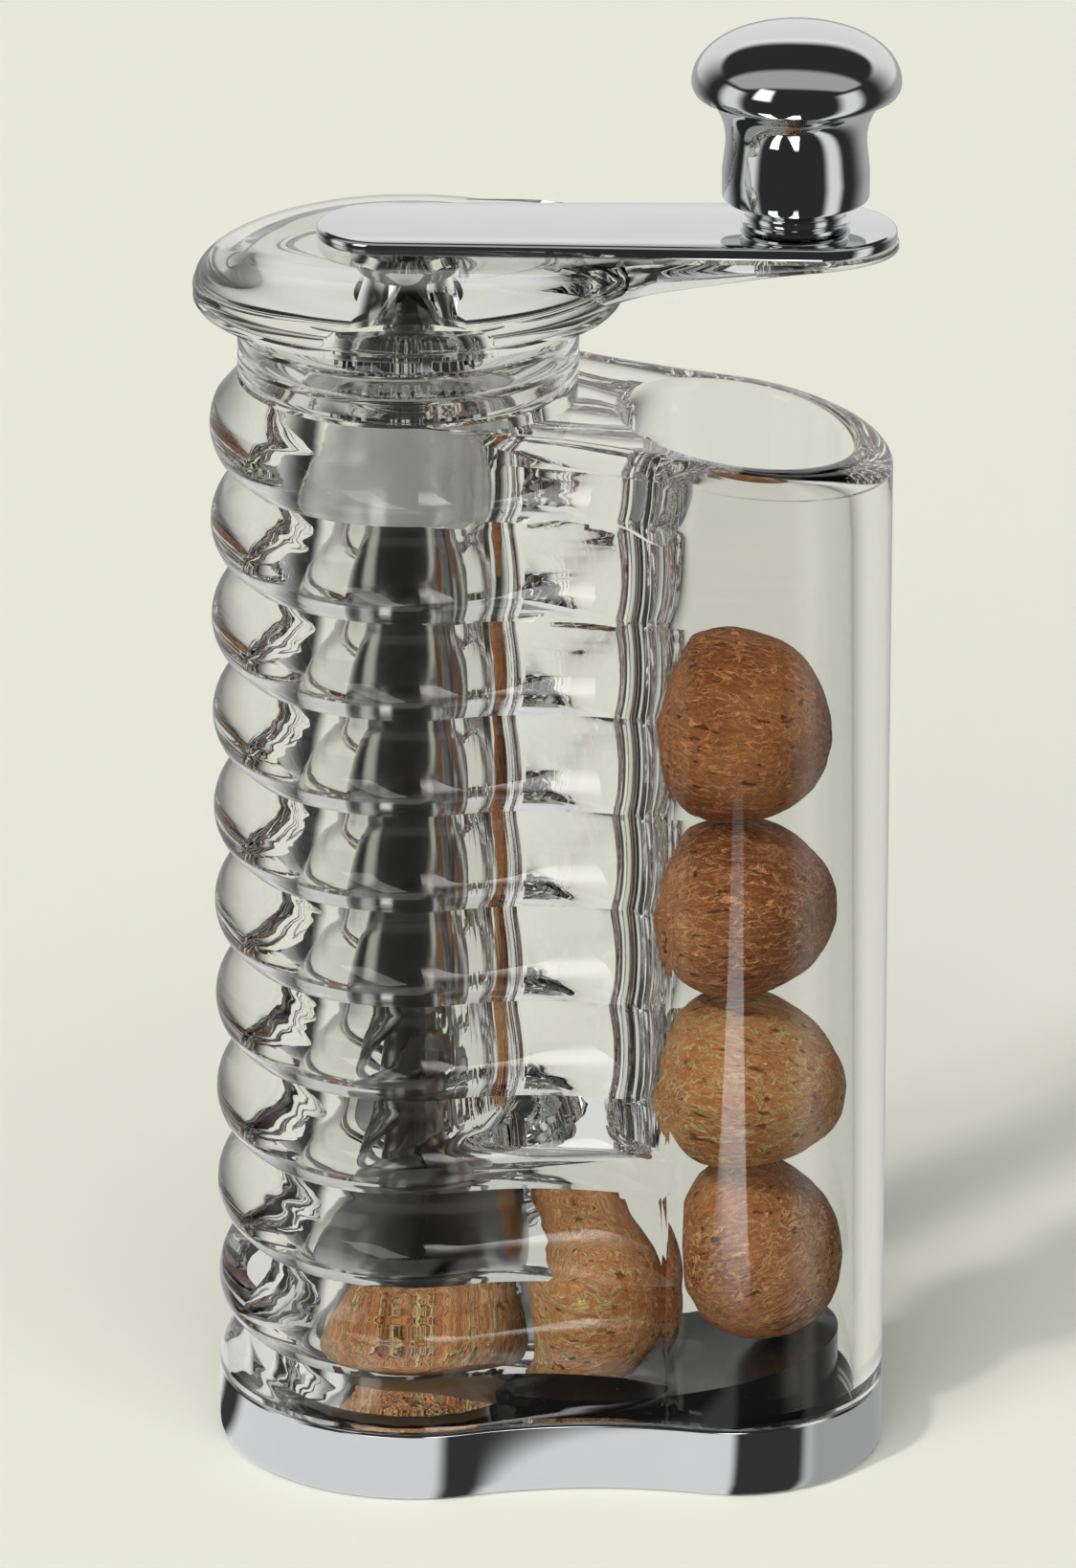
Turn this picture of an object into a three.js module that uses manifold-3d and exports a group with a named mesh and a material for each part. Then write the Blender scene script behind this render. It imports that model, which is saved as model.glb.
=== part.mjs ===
// A hand-cranked nutmeg mill, millimetres, +Z up. A thick clear housing has two bores: one stores
// whole nutmegs and the other one grinds. A sprung plunger presses a nutmeg on a round blade
// plate, the crank on top turns it, and lifting the crank lets the next nutmeg roll in.
import * as THREE from 'three';
import { mergeVertices } from 'three/addons/utils/BufferGeometryUtils.js';
import Module from 'manifold-3d';

const wasm = await Module();
wasm.setup();

// Clearances
const gap = 0.3;                   // between pieces that touch or run in each other
const sideways = 0.3;              // between a round piece and the bore that holds it

// The two chambers and the lobes round them, in plan
const chamberSpacing = 36.5;       // grinding axis to storage axis
const ribCrestRadius = 22.0;       // grinding lobe, on the crest of a rib
const storageLobeRadius = 17.1;
const waistRadius = 50.0;          // hollow sides that join the lobes
const ribFadeStart = 8.0;           // the ribs run out along the hollow sides
const ribFadeEnd = 35.0;

// The housing, in height
const ringHeight = 8.4;
const ribPitch = 11.33;
const ribCount = 10;
const ribRoundness = 6.55;         // radius of the arc that forms one rib
const lastCrestAboveRing = 11.0;
const deckSlope = 0.142;           // fall of the deck towards the storage side
const mouthDrop = 4.635;           // deck on the storage axis, below the top of the housing
const lipRoundness = 2.4;
const mouthFlare = 1.1;
const slantStart = 100.0;          // above this the storage side leans down to its deck
const leanStart = 4.0;             // the top edge is rounded and leans from here towards the mouth
const leanEnd = 20.0;
const turretInset = 0.2;           // of the level top, from the valley of the last rib

// Bores, which widen downwards so that the moulding leaves its cores
const grindBore = 11.6;
const grindBoreFoot = 12.3;
const storageBore = 12.6;
const storageBoreFoot = 13.9;
const storageBoreTop = 112.0;      // above this the storage bore is straight
const passageHeight = 40.3;        // of the way between the bores

// Base
const ringWall = 1.0;
const ringFloor = 1.6;
const ringCorner = 1.5;
const spigotDepth = 3.0;
const outletRadius = 11.0;
const carrierThickness = 2.3;
const graterSeatWidth = 2.4;
const graterRadius = 15.6;
const graterThickness = 0.8;
const graterTop = 7.8;
const bladeHeight = 0.6;
const bladeLength = 2.6;
const bladeWidth = 0.9;
const bladeRoot = 0.3;             // a lip's foot lies this far down in the plate
const bladeSetback = 0.05;         // of a lip from its slot
const bladeRings = [3.0, 6.1, 9.2];
const bladesPerMillimetre = 0.22;  // of ring circumference
const rampRadius = 12.0;
const rampLow = 8.4;               // height of the ramp beside the blade plate
const rampCurve = 0.0058;          // rise with the square of the way along
const rampDish = 0.004;            // rise with the square of the way across
const screwRadius = 1.3;
const screwHeadRadius = 2.4;
const screwHeadHeight = 1.0;
const screwBite = 4.0;
const screwSlotWidth = 0.7;
const screwSlotDepth = 0.45;
const screwHeadInset = 0.2;        // of the head's face, above the underside of the ring

// Neck, bush and turning sleeve
const neckRadius = 18.85;
const neckWall = 1.9;
const neckHeight = 8.4;
const neckGroove = 0.45;
const bushDepth = 15.3;
const sleeveWall = 0.8;
const sleeveRim = 0.3;
const sleeveRimHeight = 2.6;
const fluteCount = 18;
const fluteDepth = 0.4;
const keyWidth = 2.6;
const keyHeight = 4.1;
const keyDrop = 10.0;              // key's lower end below the sleeve's rim
const keyReach = 0.8;

// Crank, in height above the neck and outwards from the crank axis
const crankRestAngle = 4.5 * Math.PI / 180;
const liftTravel = 30.0;
const capRadius = 23.7;
const capRim = 2.0;
const capHeight = 6.6;
const capFlatRadius = 9.0;
const hubHeight = 8.6;
const hubLowRadius = 7.0;
const hubTopRadius = 5.1;
const hubSpigot = 6.0;
const hubScrewRadius = 1.7;
const hubScrewHead = 4.0;
const armEndWall = 1.1;
const armFlare = 5.0;              // extra half width of the arm where it leaves the cap
const armFlareStart = 12.0;
const armFlareEnd = 28.0;
const armRiseInset = 12.0;         // the underside starts to rise this far inside the cap's rim
const armRiseEnd = 51.0;
const armRootLift = 0.35;
const armStripOverhang = 0.2;
const stripThickness = 1.4;
const stripBevel = 0.45;
const stripHubRadius = 7.5;
const stripHubCentre = -2.55;
const stripKnobRadius = 8.5;
const stripKnobCentre = 45.2;
const crankRadius = 42.5;

// Knob
const knobCollarRadius = 6.05;
const knobCollarHeight = 2.8;
const knobStemRadius = 8.1;
const knobWaistRadius = 7.75;
const knobDomeRadius = 11.5;
const knobStemHeight = 7.9;
const knobFlareHeight = 5.3;
const knobDomeHeight = 6.1;
const knobPinRadius = 3.0;
const knobPinHead = 4.2;
const knobPinHeadHeight = 0.7;
const knobBoreDepth = 12.0;
const clipHeight = 1.0;
const clipReach = 1.5;
const clipDrop = 1.5;              // clip's top below the end of the knob's bore
const clipGroove = 0.5;            // depth of the groove in the pin
const knobEase = 0.5;

// Drive tube, plunger and spring
const tubeRadius = 6.8;
const driveTubeWall = 1.1;
const driveTubeEnd = 52.5;
const seatFlange = 1.2;
const seatSpigot = 5.0;
const rodRadius = 3.5;
const rodAboveSeat = 16.0;
const rodNeckRadius = 2.5;
const stopHeight = 2.0;
const rodFlangeRadius = 4.8;
const rodFlangeHeight = 1.5;
const plateTop = 26.0;
const plateThickness = 1.8;
const plateRadius = 10.9;
const plateSkirt = 4.7;
const plateSkirtWall = 0.9;
const rodTailRadius = 2.2;
const nutRadius = 4.0;
const nutHeight = 1.9;
const prongRadius = 8.0;
const prongWall = 0.9;
const prongBand = 2.2;
const prongLength = 5.3;
const prongCount = 8;
const springRadius = 5.7;
const springWire = 1.0;
const springTurns = 10;
const springSides = 5;
const springSteps = 8;

// Nutmegs, from the top: half sizes along, across and up, and their place beside the storage
// axis, all as shares of a middling nutmeg's radius, and the tilt about y in degrees
const nutmegRadius = 10.9;
const nutmegShapes = [
  { along: 1.064, across: 1.0, up: 1.01, aside: -0.037, behind: 0, tilt: 8 },
  { along: 1.092, across: 0.99, up: 0.954, aside: -0.018, behind: 0, tilt: -5 },
  { along: 1.11, across: 1.0, up: 0.931, aside: 0.018, behind: 0, tilt: 4 },
  { along: 0.945, across: 0.908, up: 1.0, aside: 0.22, behind: 0.2, tilt: -25 },
  { along: 0.872, across: 0.853, up: 0.844, aside: -1.44, behind: -0.2, tilt: 0 },
];
const stackCount = 4;              // nutmegs in the storage bore, and the rest lie on the ramp
const rampClearance = 0.6;         // under a nutmeg, whose round side meets the slope beside its middle
const groundRadius = 10.9;
const groundHeight = 8.5;
const groundFlatRadius = 9.6;
const groundEquator = 2.9;

// Sizes that follow from the ones above
const ribDepth = ribRoundness - Math.sqrt(ribRoundness ** 2 - (ribPitch / 2) ** 2);
const valleyRadius = ribCrestRadius - ribDepth;
const lastCrest = ringHeight + lastCrestAboveRing;
const shellTop = lastCrest + (ribCount - 0.5) * ribPitch;
const shellFoot = ringHeight + gap;
const boreFoot = shellFoot - spigotDepth - 1;
const mouthHeight = shellTop - mouthDrop;
const originX = (crankRadius * Math.cos(crankRestAngle) + knobDomeRadius - capRadius) / 2;
const bushRadius = grindBore - sideways;
const carrierFloor = ringFloor + gap;
const carrierTop = carrierFloor + carrierThickness;
const spigotFoot = shellFoot - spigotDepth;
const neckFoot = shellTop + gap;
const neckTop = neckFoot + neckHeight;
const capFoot = neckTop + gap;
const capTop = capFoot + capHeight;
const stripFoot = capTop + gap;
const stripTop = stripFoot + stripThickness;
const rimFoot = shellTop + gap;
const rimTop = rimFoot + sleeveRimHeight;
const sleeveBore = tubeRadius + sideways;
const sleeveRadius = sleeveBore + sleeveWall;
const rimRadius = sleeveRadius + sleeveRim;
const keyFoot = rimFoot - keyDrop;
const hubFoot = rimTop + gap;
const hubTop = hubFoot + hubHeight;
const tubeBore = tubeRadius - driveTubeWall;
const seatTop = driveTubeEnd - gap;
const rodTop = driveTubeEnd + rodAboveSeat;
const collarFoot = stripTop + gap;
const knobFoot = collarFoot + knobCollarHeight + gap;
const nutmegFoot = graterTop + bladeHeight + gap;

// Turns three.js geometry into a closed shell with merged points and faces outwards
function closedShell(geometry) {
  const bare = geometry.index ? geometry.toNonIndexed() : geometry.clone();
  bare.deleteAttribute('normal');
  bare.deleteAttribute('uv');
  const merged = mergeVertices(bare, 1e-4);
  const index = merged.index.array;
  const points = merged.attributes.position;
  const kept = [];
  const a = new THREE.Vector3();
  const b = new THREE.Vector3();
  const c = new THREE.Vector3();
  let volume = 0;
  for (let i = 0; i < index.length; i += 3) {
    const [p, q, r] = [index[i], index[i + 1], index[i + 2]];
    if (p === q || q === r || r === p) continue;
    kept.push(p, q, r);
    a.fromBufferAttribute(points, p);
    b.fromBufferAttribute(points, q);
    c.fromBufferAttribute(points, r);
    volume += a.dot(b.cross(c));
  }
  if (volume < 0) {
    for (let i = 0; i < kept.length; i += 3) [kept[i], kept[i + 1]] = [kept[i + 1], kept[i]];
  }
  merged.setIndex(kept);
  return merged;
}

function toSolid(geometry) {
  const shell = closedShell(geometry);
  return new wasm.Manifold(new wasm.Mesh({
    numProp: 3,
    vertProperties: new Float32Array(shell.attributes.position.array),
    triVerts: new Uint32Array(shell.index.array),
  }));
}

function toGeometry(solid) {
  const mesh = solid.getMesh();
  const geometry = new THREE.BufferGeometry();
  geometry.setAttribute('position', new THREE.BufferAttribute(new Float32Array(mesh.vertProperties), 3));
  geometry.setIndex(Array.from(mesh.triVerts));
  return geometry;
}

function cut(body, ...tools) {
  return toGeometry(tools.reduce((solid, tool) => solid.subtract(toSolid(tool)), toSolid(body)));
}

function join(body, ...others) {
  return toGeometry(others.reduce((solid, other) => solid.add(toSolid(other)), toSolid(body)));
}

// A profile of [radius, height] pairs turned about +Z
function revolve(profile, segments = 32) {
  const points = profile.map(([r, z]) => new THREE.Vector2(r, z));
  return new THREE.LatheGeometry(points, segments).rotateX(Math.PI / 2);
}

// A ring-shaped profile, which closes on itself
function revolveRing(profile, segments = 32) {
  return revolve([...profile, profile[0]], segments);
}

function tube(inner, outer, low, high, segments = 32) {
  return revolveRing([[inner, low], [outer, low], [outer, high], [inner, high]], segments);
}

function rod(radius, low, high, segments = 20) {
  return revolve([[0, low], [radius, low], [radius, high], [0, high]], segments);
}

function block(x0, x1, y0, y1, z0, z1) {
  const box = new THREE.BoxGeometry(x1 - x0, y1 - y0, z1 - z0);
  return box.translate((x0 + x1) / 2, (y0 + y1) / 2, (z0 + z1) / 2);
}

// Skins a stack of rings that have the same number of points, and closes both ends
function loft(rings) {
  const count = rings[0].length;
  const positions = [];
  const index = [];
  rings.forEach((ring) => ring.forEach((point) => positions.push(...point)));
  for (let i = 0; i + 1 < rings.length; i += 1) {
    for (let j = 0; j < count; j += 1) {
      const next = (j + 1) % count;
      const [p, q] = [i * count + j, i * count + next];
      index.push(p, q, p + count, q, q + count, p + count);
    }
  }
  [[rings[0], 0, true], [rings[rings.length - 1], (rings.length - 1) * count, false]]
    .forEach(([ring, start, first]) => {
      const hub = positions.length / 3;
      const middle = [0, 1, 2].map((k) => ring.reduce((sum, point) => sum + point[k], 0) / count);
      positions.push(...middle);
      for (let j = 0; j < count; j += 1) {
        const next = (j + 1) % count;
        if (first) index.push(hub, start + next, start + j);
        else index.push(hub, start + j, start + next);
      }
    });
  const geometry = new THREE.BufferGeometry();
  geometry.setAttribute('position', new THREE.Float32BufferAttribute(positions, 3));
  geometry.setIndex(index);
  return geometry;
}

// The plan outline: a grinding lobe and a storage lobe joined by hollow sides that touch both
function lobeOutline(grindRadius, storageRadius, sideRadius) {
  const leftSteps = 17;
  const sideSteps = 4;
  const rightSteps = 9;
  const sum = grindRadius + storageRadius + 2 * sideRadius;
  const sideX = (chamberSpacing ** 2 + (grindRadius - storageRadius) * sum) / (2 * chamberSpacing);
  const sideY = Math.sqrt((grindRadius + sideRadius) ** 2 - sideX ** 2);
  const leftTouch = Math.atan2(sideY, sideX);
  const rightTouch = Math.atan2(sideY, sideX - chamberSpacing);
  const points = [];
  for (let i = 0; i < leftSteps; i += 1) {
    const angle = leftTouch + (2 * Math.PI - 2 * leftTouch) * i / leftSteps;
    points.push([grindRadius * Math.cos(angle), grindRadius * Math.sin(angle)]);
  }
  for (let i = 0; i < sideSteps; i += 1) {
    const angle = Math.PI - leftTouch + (leftTouch - rightTouch) * i / sideSteps;
    points.push([sideX + sideRadius * Math.cos(angle), -sideY + sideRadius * Math.sin(angle)]);
  }
  for (let i = 0; i < rightSteps; i += 1) {
    const angle = -rightTouch + 2 * rightTouch * i / rightSteps;
    points.push([chamberSpacing + storageRadius * Math.cos(angle), storageRadius * Math.sin(angle)]);
  }
  for (let i = 0; i < sideSteps; i += 1) {
    const angle = Math.PI + rightTouch + (leftTouch - rightTouch) * i / sideSteps;
    points.push([sideX + sideRadius * Math.cos(angle), sideY + sideRadius * Math.sin(angle)]);
  }
  return points;
}

function insetOutline(inset, grindRadius = ribCrestRadius) {
  return lobeOutline(grindRadius - inset, storageLobeRadius - inset, waistRadius + inset);
}

function prism(outline, low, high) {
  return loft([low, high].map((z) => outline.map(([x, y]) => [x, y, z])));
}

function outlineBlock(inset, low, high) {
  return prism(insetOutline(inset), low, high);
}

// Height of the deck, which is level over the grinding lobe and falls towards the storage lobe
function deckHeight(x) {
  return Math.min(shellTop, mouthHeight + deckSlope * (chamberSpacing - x));
}

function leanedHeight(x, level) {
  if (level <= slantStart) return level;
  return slantStart + (level - slantStart) * (deckHeight(x) - slantStart) / (shellTop - slantStart);
}

function ribRadius(z) {
  const fromCrest = ((z - lastCrest) / ribPitch + 0.5) % 1;
  const offset = ((fromCrest + 1) % 1 - 0.5) * ribPitch;
  return ribCrestRadius - ribRoundness + Math.sqrt(ribRoundness ** 2 - offset ** 2);
}

// Levels from foot to top, four to a rib
function ribLevels() {
  const levels = [shellFoot, (shellFoot + lastCrest - ribPitch / 2) / 2];
  for (let rib = 0; rib < ribCount; rib += 1) {
    const valley = lastCrest + (rib - 0.5) * ribPitch;
    [0, 0.2, 0.5, 0.8].forEach((part) => levels.push(valley + part * ribPitch));
  }
  levels.push(shellTop);
  return levels;
}

function smooth(low, high, value) {
  const t = Math.min(1, Math.max(0, (value - low) / (high - low)));
  return t * t * (3 - 2 * t);
}

// The clear ribbed housing: lofted ribs that run out along the hollow sides, a level turret under
// the neck, a leaning deck with a flared mouth, two bores joined at the foot by a passage, a seat
// for the blade plate, and a spigot that enters the base ring
function housingBody() {
  const plan = insetOutline(0);
  const pointAt = (i, level, inset) => {
    const [x] = plan[i];
    const ribbed = 1 - smooth(ribFadeStart, ribFadeEnd, x);
    const depth = ribbed * (ribCrestRadius - ribRadius(leanedHeight(x, level)));
    return insetOutline(depth + inset * smooth(leanStart, leanEnd, x))[i];
  };
  const ringAt = (level, inset, drop) => plan.map(([x], i) => (
    [...pointAt(i, level, inset), leanedHeight(x, level) - drop * smooth(leanStart, leanEnd, x)]));
  const levels = ribLevels().filter((level) => level < shellTop - lipRoundness);
  const rings = levels.map((level) => ringAt(level, 0, 0));
  [0, 30, 60, 90].forEach((degrees) => {
    const turn = degrees * Math.PI / 180;
    rings.push(ringAt(shellTop, lipRoundness * (1 - Math.cos(turn)), lipRoundness * (1 - Math.sin(turn))));
  });
  const deckPlan = plan.map((_, i) => pointAt(i, shellTop, lipRoundness + turretInset));
  const turret = rod(valleyRadius - turretInset, slantStart, shellTop, 32);
  const spigot = outlineBlock(ringWall + sideways, spigotFoot, shellFoot + 1);
  const body = join(loft(rings), cut(prism(deckPlan, slantStart, shellTop), aboveDeck), turret, spigot);
  const grinding = revolve([[0, boreFoot], [grindBoreFoot, boreFoot], [grindBore, shellTop + 1],
    [0, shellTop + 1]]);
  const storage = revolve([[0, boreFoot], [storageBoreFoot, boreFoot], [storageBore, storageBoreTop],
    [0, storageBoreTop]]).translate(chamberSpacing, 0, 0);
  const mouth = leanWithDeck(revolve([
    [0, storageBoreTop - 1 - mouthHeight], [storageBore, storageBoreTop - 1 - mouthHeight],
    [storageBore, -mouthFlare], [storageBore + 0.3 * mouthFlare, -0.4 * mouthFlare],
    [storageBore + mouthFlare, 0], [storageBore + mouthFlare, 3], [0, 3]]));
  const plateSeat = rod(graterRadius + sideways, boreFoot, graterTop + gap, 32);
  return cut(body, grinding, storage, mouth, passage(), plateSeat);
}

// The way between the bores, whose sides run on from the sides of the grinding bore
function passage() {
  const share = (passageHeight - boreFoot) / (shellTop + 1 - boreFoot);
  const narrow = grindBoreFoot + (grindBore - grindBoreFoot) * share;
  return loft([[grindBoreFoot, boreFoot], [narrow, passageHeight]].map(([half, z]) => (
    [[0, -half, z], [chamberSpacing, -half, z], [chamberSpacing, half, z], [0, half, z]])));
}

// Everything above the plane of the sloping deck
const aboveDeck = slopingBlock();

function slopingBlock() {
  const reach = 3 * ribCrestRadius;
  const corners = [[-reach, -reach], [2 * reach, -reach], [2 * reach, reach], [-reach, reach]];
  return loft([
    corners.map(([x, y]) => [x, y, mouthHeight + deckSlope * (chamberSpacing - x)]),
    corners.map(([x, y]) => [x, y, 2 * shellTop]),
  ]);
}

// Places a piece made about the storage axis, with its zero on the deck, in the plane of the deck
function leanWithDeck(geometry) {
  const points = geometry.attributes.position;
  for (let i = 0; i < points.count; i += 1) {
    points.setZ(i, points.getZ(i) + mouthHeight - deckSlope * points.getX(i));
    points.setX(i, points.getX(i) + chamberSpacing);
  }
  return geometry;
}

function neckCollar() {
  const third = neckHeight / 3;
  const bore = neckRadius - neckWall;
  const profile = [[bore, neckFoot], [neckRadius, neckFoot]];
  [1, 2].forEach((line) => {
    const z = neckFoot + line * third;
    profile.push([neckRadius, z - neckGroove], [neckRadius - neckGroove, z], [neckRadius, z + neckGroove]);
  });
  profile.push([neckRadius, neckTop - neckGroove], [neckRadius - neckGroove, neckTop], [bore, neckTop]);
  return revolveRing(profile, 32);
}

function shaftBush() {
  return tube(sleeveRadius + sideways, bushRadius, shellTop - bushDepth, shellTop, 28);
}

// A round outline with shallow V flutes at height z
function flutedRing(radius, z, depth = fluteDepth) {
  return Array.from({ length: 2 * fluteCount }, (_, i) => {
    const angle = Math.PI * i / fluteCount;
    const r = i % 2 ? radius - depth : radius;
    return [r * Math.cos(angle), r * Math.sin(angle), z];
  });
}

// The sleeve turns in the bush, carries the fluted rim and drives the tube by an inside key
function guideSleeve() {
  const rim = loft([flutedRing(rimRadius, rimFoot), flutedRing(rimRadius, rimTop)]);
  const barrel = rod(sleeveRadius, shellTop - bushDepth, rimFoot + 1, 28);
  const bore = rod(sleeveBore, shellTop - bushDepth - 1, rimTop + 1, 28);
  const key = block(-keyWidth / 2, keyWidth / 2, sleeveBore - keyReach, sleeveBore + sleeveWall / 2,
    keyFoot, keyFoot + keyHeight);
  return join(cut(join(rim, barrel), bore), key);
}

function baseRing() {
  const corner = [0, 30, 60, 90].map((degrees) => {
    const turn = degrees * Math.PI / 180;
    return [ringCorner * (1 - Math.sin(turn)), ringCorner * (1 - Math.cos(turn))];
  });
  const level = (inset, z) => insetOutline(inset).map(([x, y]) => [x, y, z]);
  const body = loft([...corner.map(([inset, z]) => level(inset, z)), level(0, ringHeight)]);
  const hollow = outlineBlock(ringWall, ringFloor, ringHeight + 1);
  const outlet = rod(outletRadius, -1, ringFloor + 1, 28);
  return cut(body, hollow, outlet, ...screwPlaces.map(([x, y]) => (
    rod(screwRadius + sideways, -1, ringFloor + 1, 12).translate(x, y, 0))),
  ...screwPlaces.map(([x, y]) => (
    rod(screwHeadRadius + sideways, -1, screwHeadHeight + gap / 2, 16).translate(x, y, 0))));
}

// Three screws pass up through the ring floor and the carrier into the ramp
const screwPlaces = [
  [chamberSpacing + 0.68 * rampRadius, 0],
  [chamberSpacing - 0.3 * rampRadius, 0.66 * rampRadius],
  [chamberSpacing - 0.3 * rampRadius, -0.66 * rampRadius],
];

function baseScrew() {
  const headTop = screwHeadHeight - gap / 2;
  const slot = block(-screwHeadRadius, screwHeadRadius, -screwSlotWidth / 2, screwSlotWidth / 2,
    -1, screwHeadInset + screwSlotDepth);
  const body = revolve([
    [0, screwHeadInset], [screwHeadRadius, screwHeadInset], [screwHeadRadius, headTop], [screwRadius, headTop],
    [screwRadius, carrierTop + screwBite - 1], [0, carrierTop + screwBite]], 16);
  return cut(body, slot);
}

function graterCarrier() {
  const plate = outlineBlock(ringWall + sideways, carrierFloor, carrierTop);
  const boss = rod(graterRadius, carrierTop - 0.5, graterTop - graterThickness - gap, 28);
  const bore = rod(graterRadius - graterSeatWidth, carrierTop, graterTop, 28);
  const outlet = rod(outletRadius + sideways, carrierFloor - 1, carrierTop + 1, 28);
  return cut(join(plate, boss), bore, outlet, ...screwPlaces.map(([x, y]) => (
    rod(screwRadius + sideways, carrierFloor - 1, carrierTop + 1, 12).translate(x, y, 0))));
}

// A steel disc with rings of punched slots, each with a raised cutting lip along one side
function graterPlate() {
  let solid = toSolid(rod(graterRadius, graterTop - graterThickness, graterTop, 28));
  bladeRings.forEach((radius, ring) => {
    const count = Math.round(2 * Math.PI * radius * bladesPerMillimetre);
    for (let i = 0; i < count; i += 1) {
      const turn = 2 * Math.PI * (i + 0.5 * (ring % 2)) / count;
      const slot = block(radius - bladeLength / 2, radius + bladeLength / 2, 0, bladeWidth,
        graterTop - graterThickness - 1, graterTop + 1).rotateZ(turn);
      const lip = new THREE.BufferGeometry();
      const [r0, r1] = [radius - bladeLength / 2, radius + bladeLength / 2];
      const [back, edge] = [-bladeWidth, -bladeSetback];
      const [low, high] = [graterTop - bladeRoot, graterTop + bladeHeight];
      lip.setAttribute('position', new THREE.Float32BufferAttribute([
        r0, back, low, r0, edge, low, r0, edge, high,
        r1, back, low, r1, edge, low, r1, edge, high], 3));
      lip.setIndex([0, 2, 1, 3, 4, 5, 0, 1, 4, 0, 4, 3, 1, 2, 5, 1, 5, 4, 2, 0, 3, 2, 3, 5]);
      solid = solid.subtract(toSolid(slot)).add(toSolid(lip.rotateZ(turn)));
    }
  });
  return toGeometry(solid);
}

function rampHeight(x, y) {
  const along = Math.max(0, x - (graterRadius - 1.6));
  return rampLow + rampCurve * along ** 2 + rampDish * y ** 2;
}

// The black chute under the storage tube, hollowed so that nutmegs roll to the blade plate
function feedRamp() {
  const shape = new THREE.Shape();
  const clear = graterRadius + sideways;
  const cornerX = Math.sqrt(clear ** 2 - rampRadius ** 2);
  const cornerAngle = Math.atan2(rampRadius, cornerX);
  shape.moveTo(cornerX, -rampRadius);
  shape.lineTo(chamberSpacing, -rampRadius);
  shape.absarc(chamberSpacing, 0, rampRadius, -Math.PI / 2, Math.PI / 2, false);
  shape.lineTo(cornerX, rampRadius);
  shape.absarc(0, 0, clear, cornerAngle, -cornerAngle, true);
  const foot = carrierTop + gap;
  const tall = rampHeight(chamberSpacing + rampRadius, rampRadius) + 1;
  const body = new THREE.ExtrudeGeometry(shape, {
    depth: tall - foot,
    bevelEnabled: false,
    curveSegments: 10,
  });
  body.translate(0, 0, foot);
  const columns = 8;
  const x0 = cornerX - 1;
  const x1 = chamberSpacing + rampRadius + 1;
  const sections = Array.from({ length: columns + 1 }, (_, i) => {
    const x = x0 + (x1 - x0) * i / columns;
    const across = [-1, -0.5, 0, 0.5, 1].map((part) => part * (rampRadius + 1));
    const surface = across.map((y) => [x, y, rampHeight(x, y)]);
    return [...surface, [x, across[4], tall + 2], [x, across[0], tall + 2]];
  });
  const holes = screwPlaces.map(([x, y]) => (
    rod(screwRadius + sideways, foot - 1, carrierTop + screwBite + sideways, 12).translate(x, y, 0)));
  return cut(body, loft(sections), ...holes);
}

// The clear crank: a domed cap with a rim and a socket for the hub, flowing into a thinning arm
function crankCap() {
  const rimTopZ = capFoot + capRim;
  const profile = [[0, capFoot], [capRadius - 0.4, capFoot], [capRadius, capFoot + 0.4],
    [capRadius - 0.35, capFoot + capRim / 2], [capRadius, rimTopZ - 0.3]];
  const domeSteps = 4;
  for (let i = 1; i <= domeSteps; i += 1) {
    const turn = (i / domeSteps) * Math.PI / 2;
    profile.push([capFlatRadius + (capRadius - capFlatRadius) * Math.cos(turn),
      rimTopZ + (capTop - rimTopZ) * Math.sin(turn)]);
  }
  profile.push([0, capTop]);
  const dome = revolve(profile, 36);
  const socket = revolve([[0, capFoot - 1], [socketRadius(capFoot - 1), capFoot - 1],
    [socketRadius(hubTop + gap), hubTop + gap], [0, hubTop + gap]], 32);
  const screwHole = rod(hubScrewRadius + sideways, hubTop, capTop + 1, 20);
  const headSeat = hubTop + gap + armEndWall;
  const headHole = rod(hubScrewHead + sideways, headSeat, capTop + 1, 24);
  const pinHole = rod(knobPinRadius + sideways, capFoot, capTop + 1, 24).translate(crankRadius, 0, 0);
  const pinSeat = rod(knobPinHead + sideways, capFoot, pinSeatHeight(), 24).translate(crankRadius, 0, 0);
  return cut(join(dome, crankArm()), socket, screwHole, headHole, pinHole, pinSeat);
}

// The level seat under the arm's end for the head of the knob's pin
function pinSeatHeight() {
  return armSection(crankRadius + knobPinHead).under;
}

function socketRadius(z) {
  const part = (z - hubFoot) / hubHeight;
  return hubLowRadius + (hubTopRadius - hubLowRadius) * part + 2 * sideways;
}

// Half width and underside of the arm at a distance from the crank axis
function armSection(x) {
  const end = stripKnobCentre + stripKnobRadius + armStripOverhang;
  const round = stripKnobRadius + armStripOverhang;
  const fromEnd = Math.max(0, x - stripKnobCentre);
  const flare = armFlare * (1 - smooth(armFlareStart, armFlareEnd, x));
  const width = (x >= end ? 0 : Math.sqrt(round ** 2 - fromEnd ** 2)) + flare;
  const rise = smooth(capRadius - armRiseInset, armRiseEnd, x) * (capHeight - armEndWall);
  return { width, under: capFoot + armRootLift + rise };
}

function crankArm() {
  const end = stripKnobCentre + stripKnobRadius + armStripOverhang;
  const stations = [6, 14, 18, 22, 26, 31, 36, 41, stripKnobCentre];
  [25, 45, 60, 72, 82, 89].forEach((degrees) => {
    stations.push(stripKnobCentre + (end - stripKnobCentre) * Math.sin(degrees * Math.PI / 180));
  });
  return loft(stations.map((x) => {
    const { width, under } = armSection(x);
    const depth = capTop - under;
    const half = [[0.5, 1], [0.86, 0.86], [1, 0.55], [1, 0]];
    const outline = [...half.map(([across, down]) => [-across, down]).reverse(), ...half];
    return outline.map(([across, down]) => [x, across * width, capTop - down * depth]);
  }));
}

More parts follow.
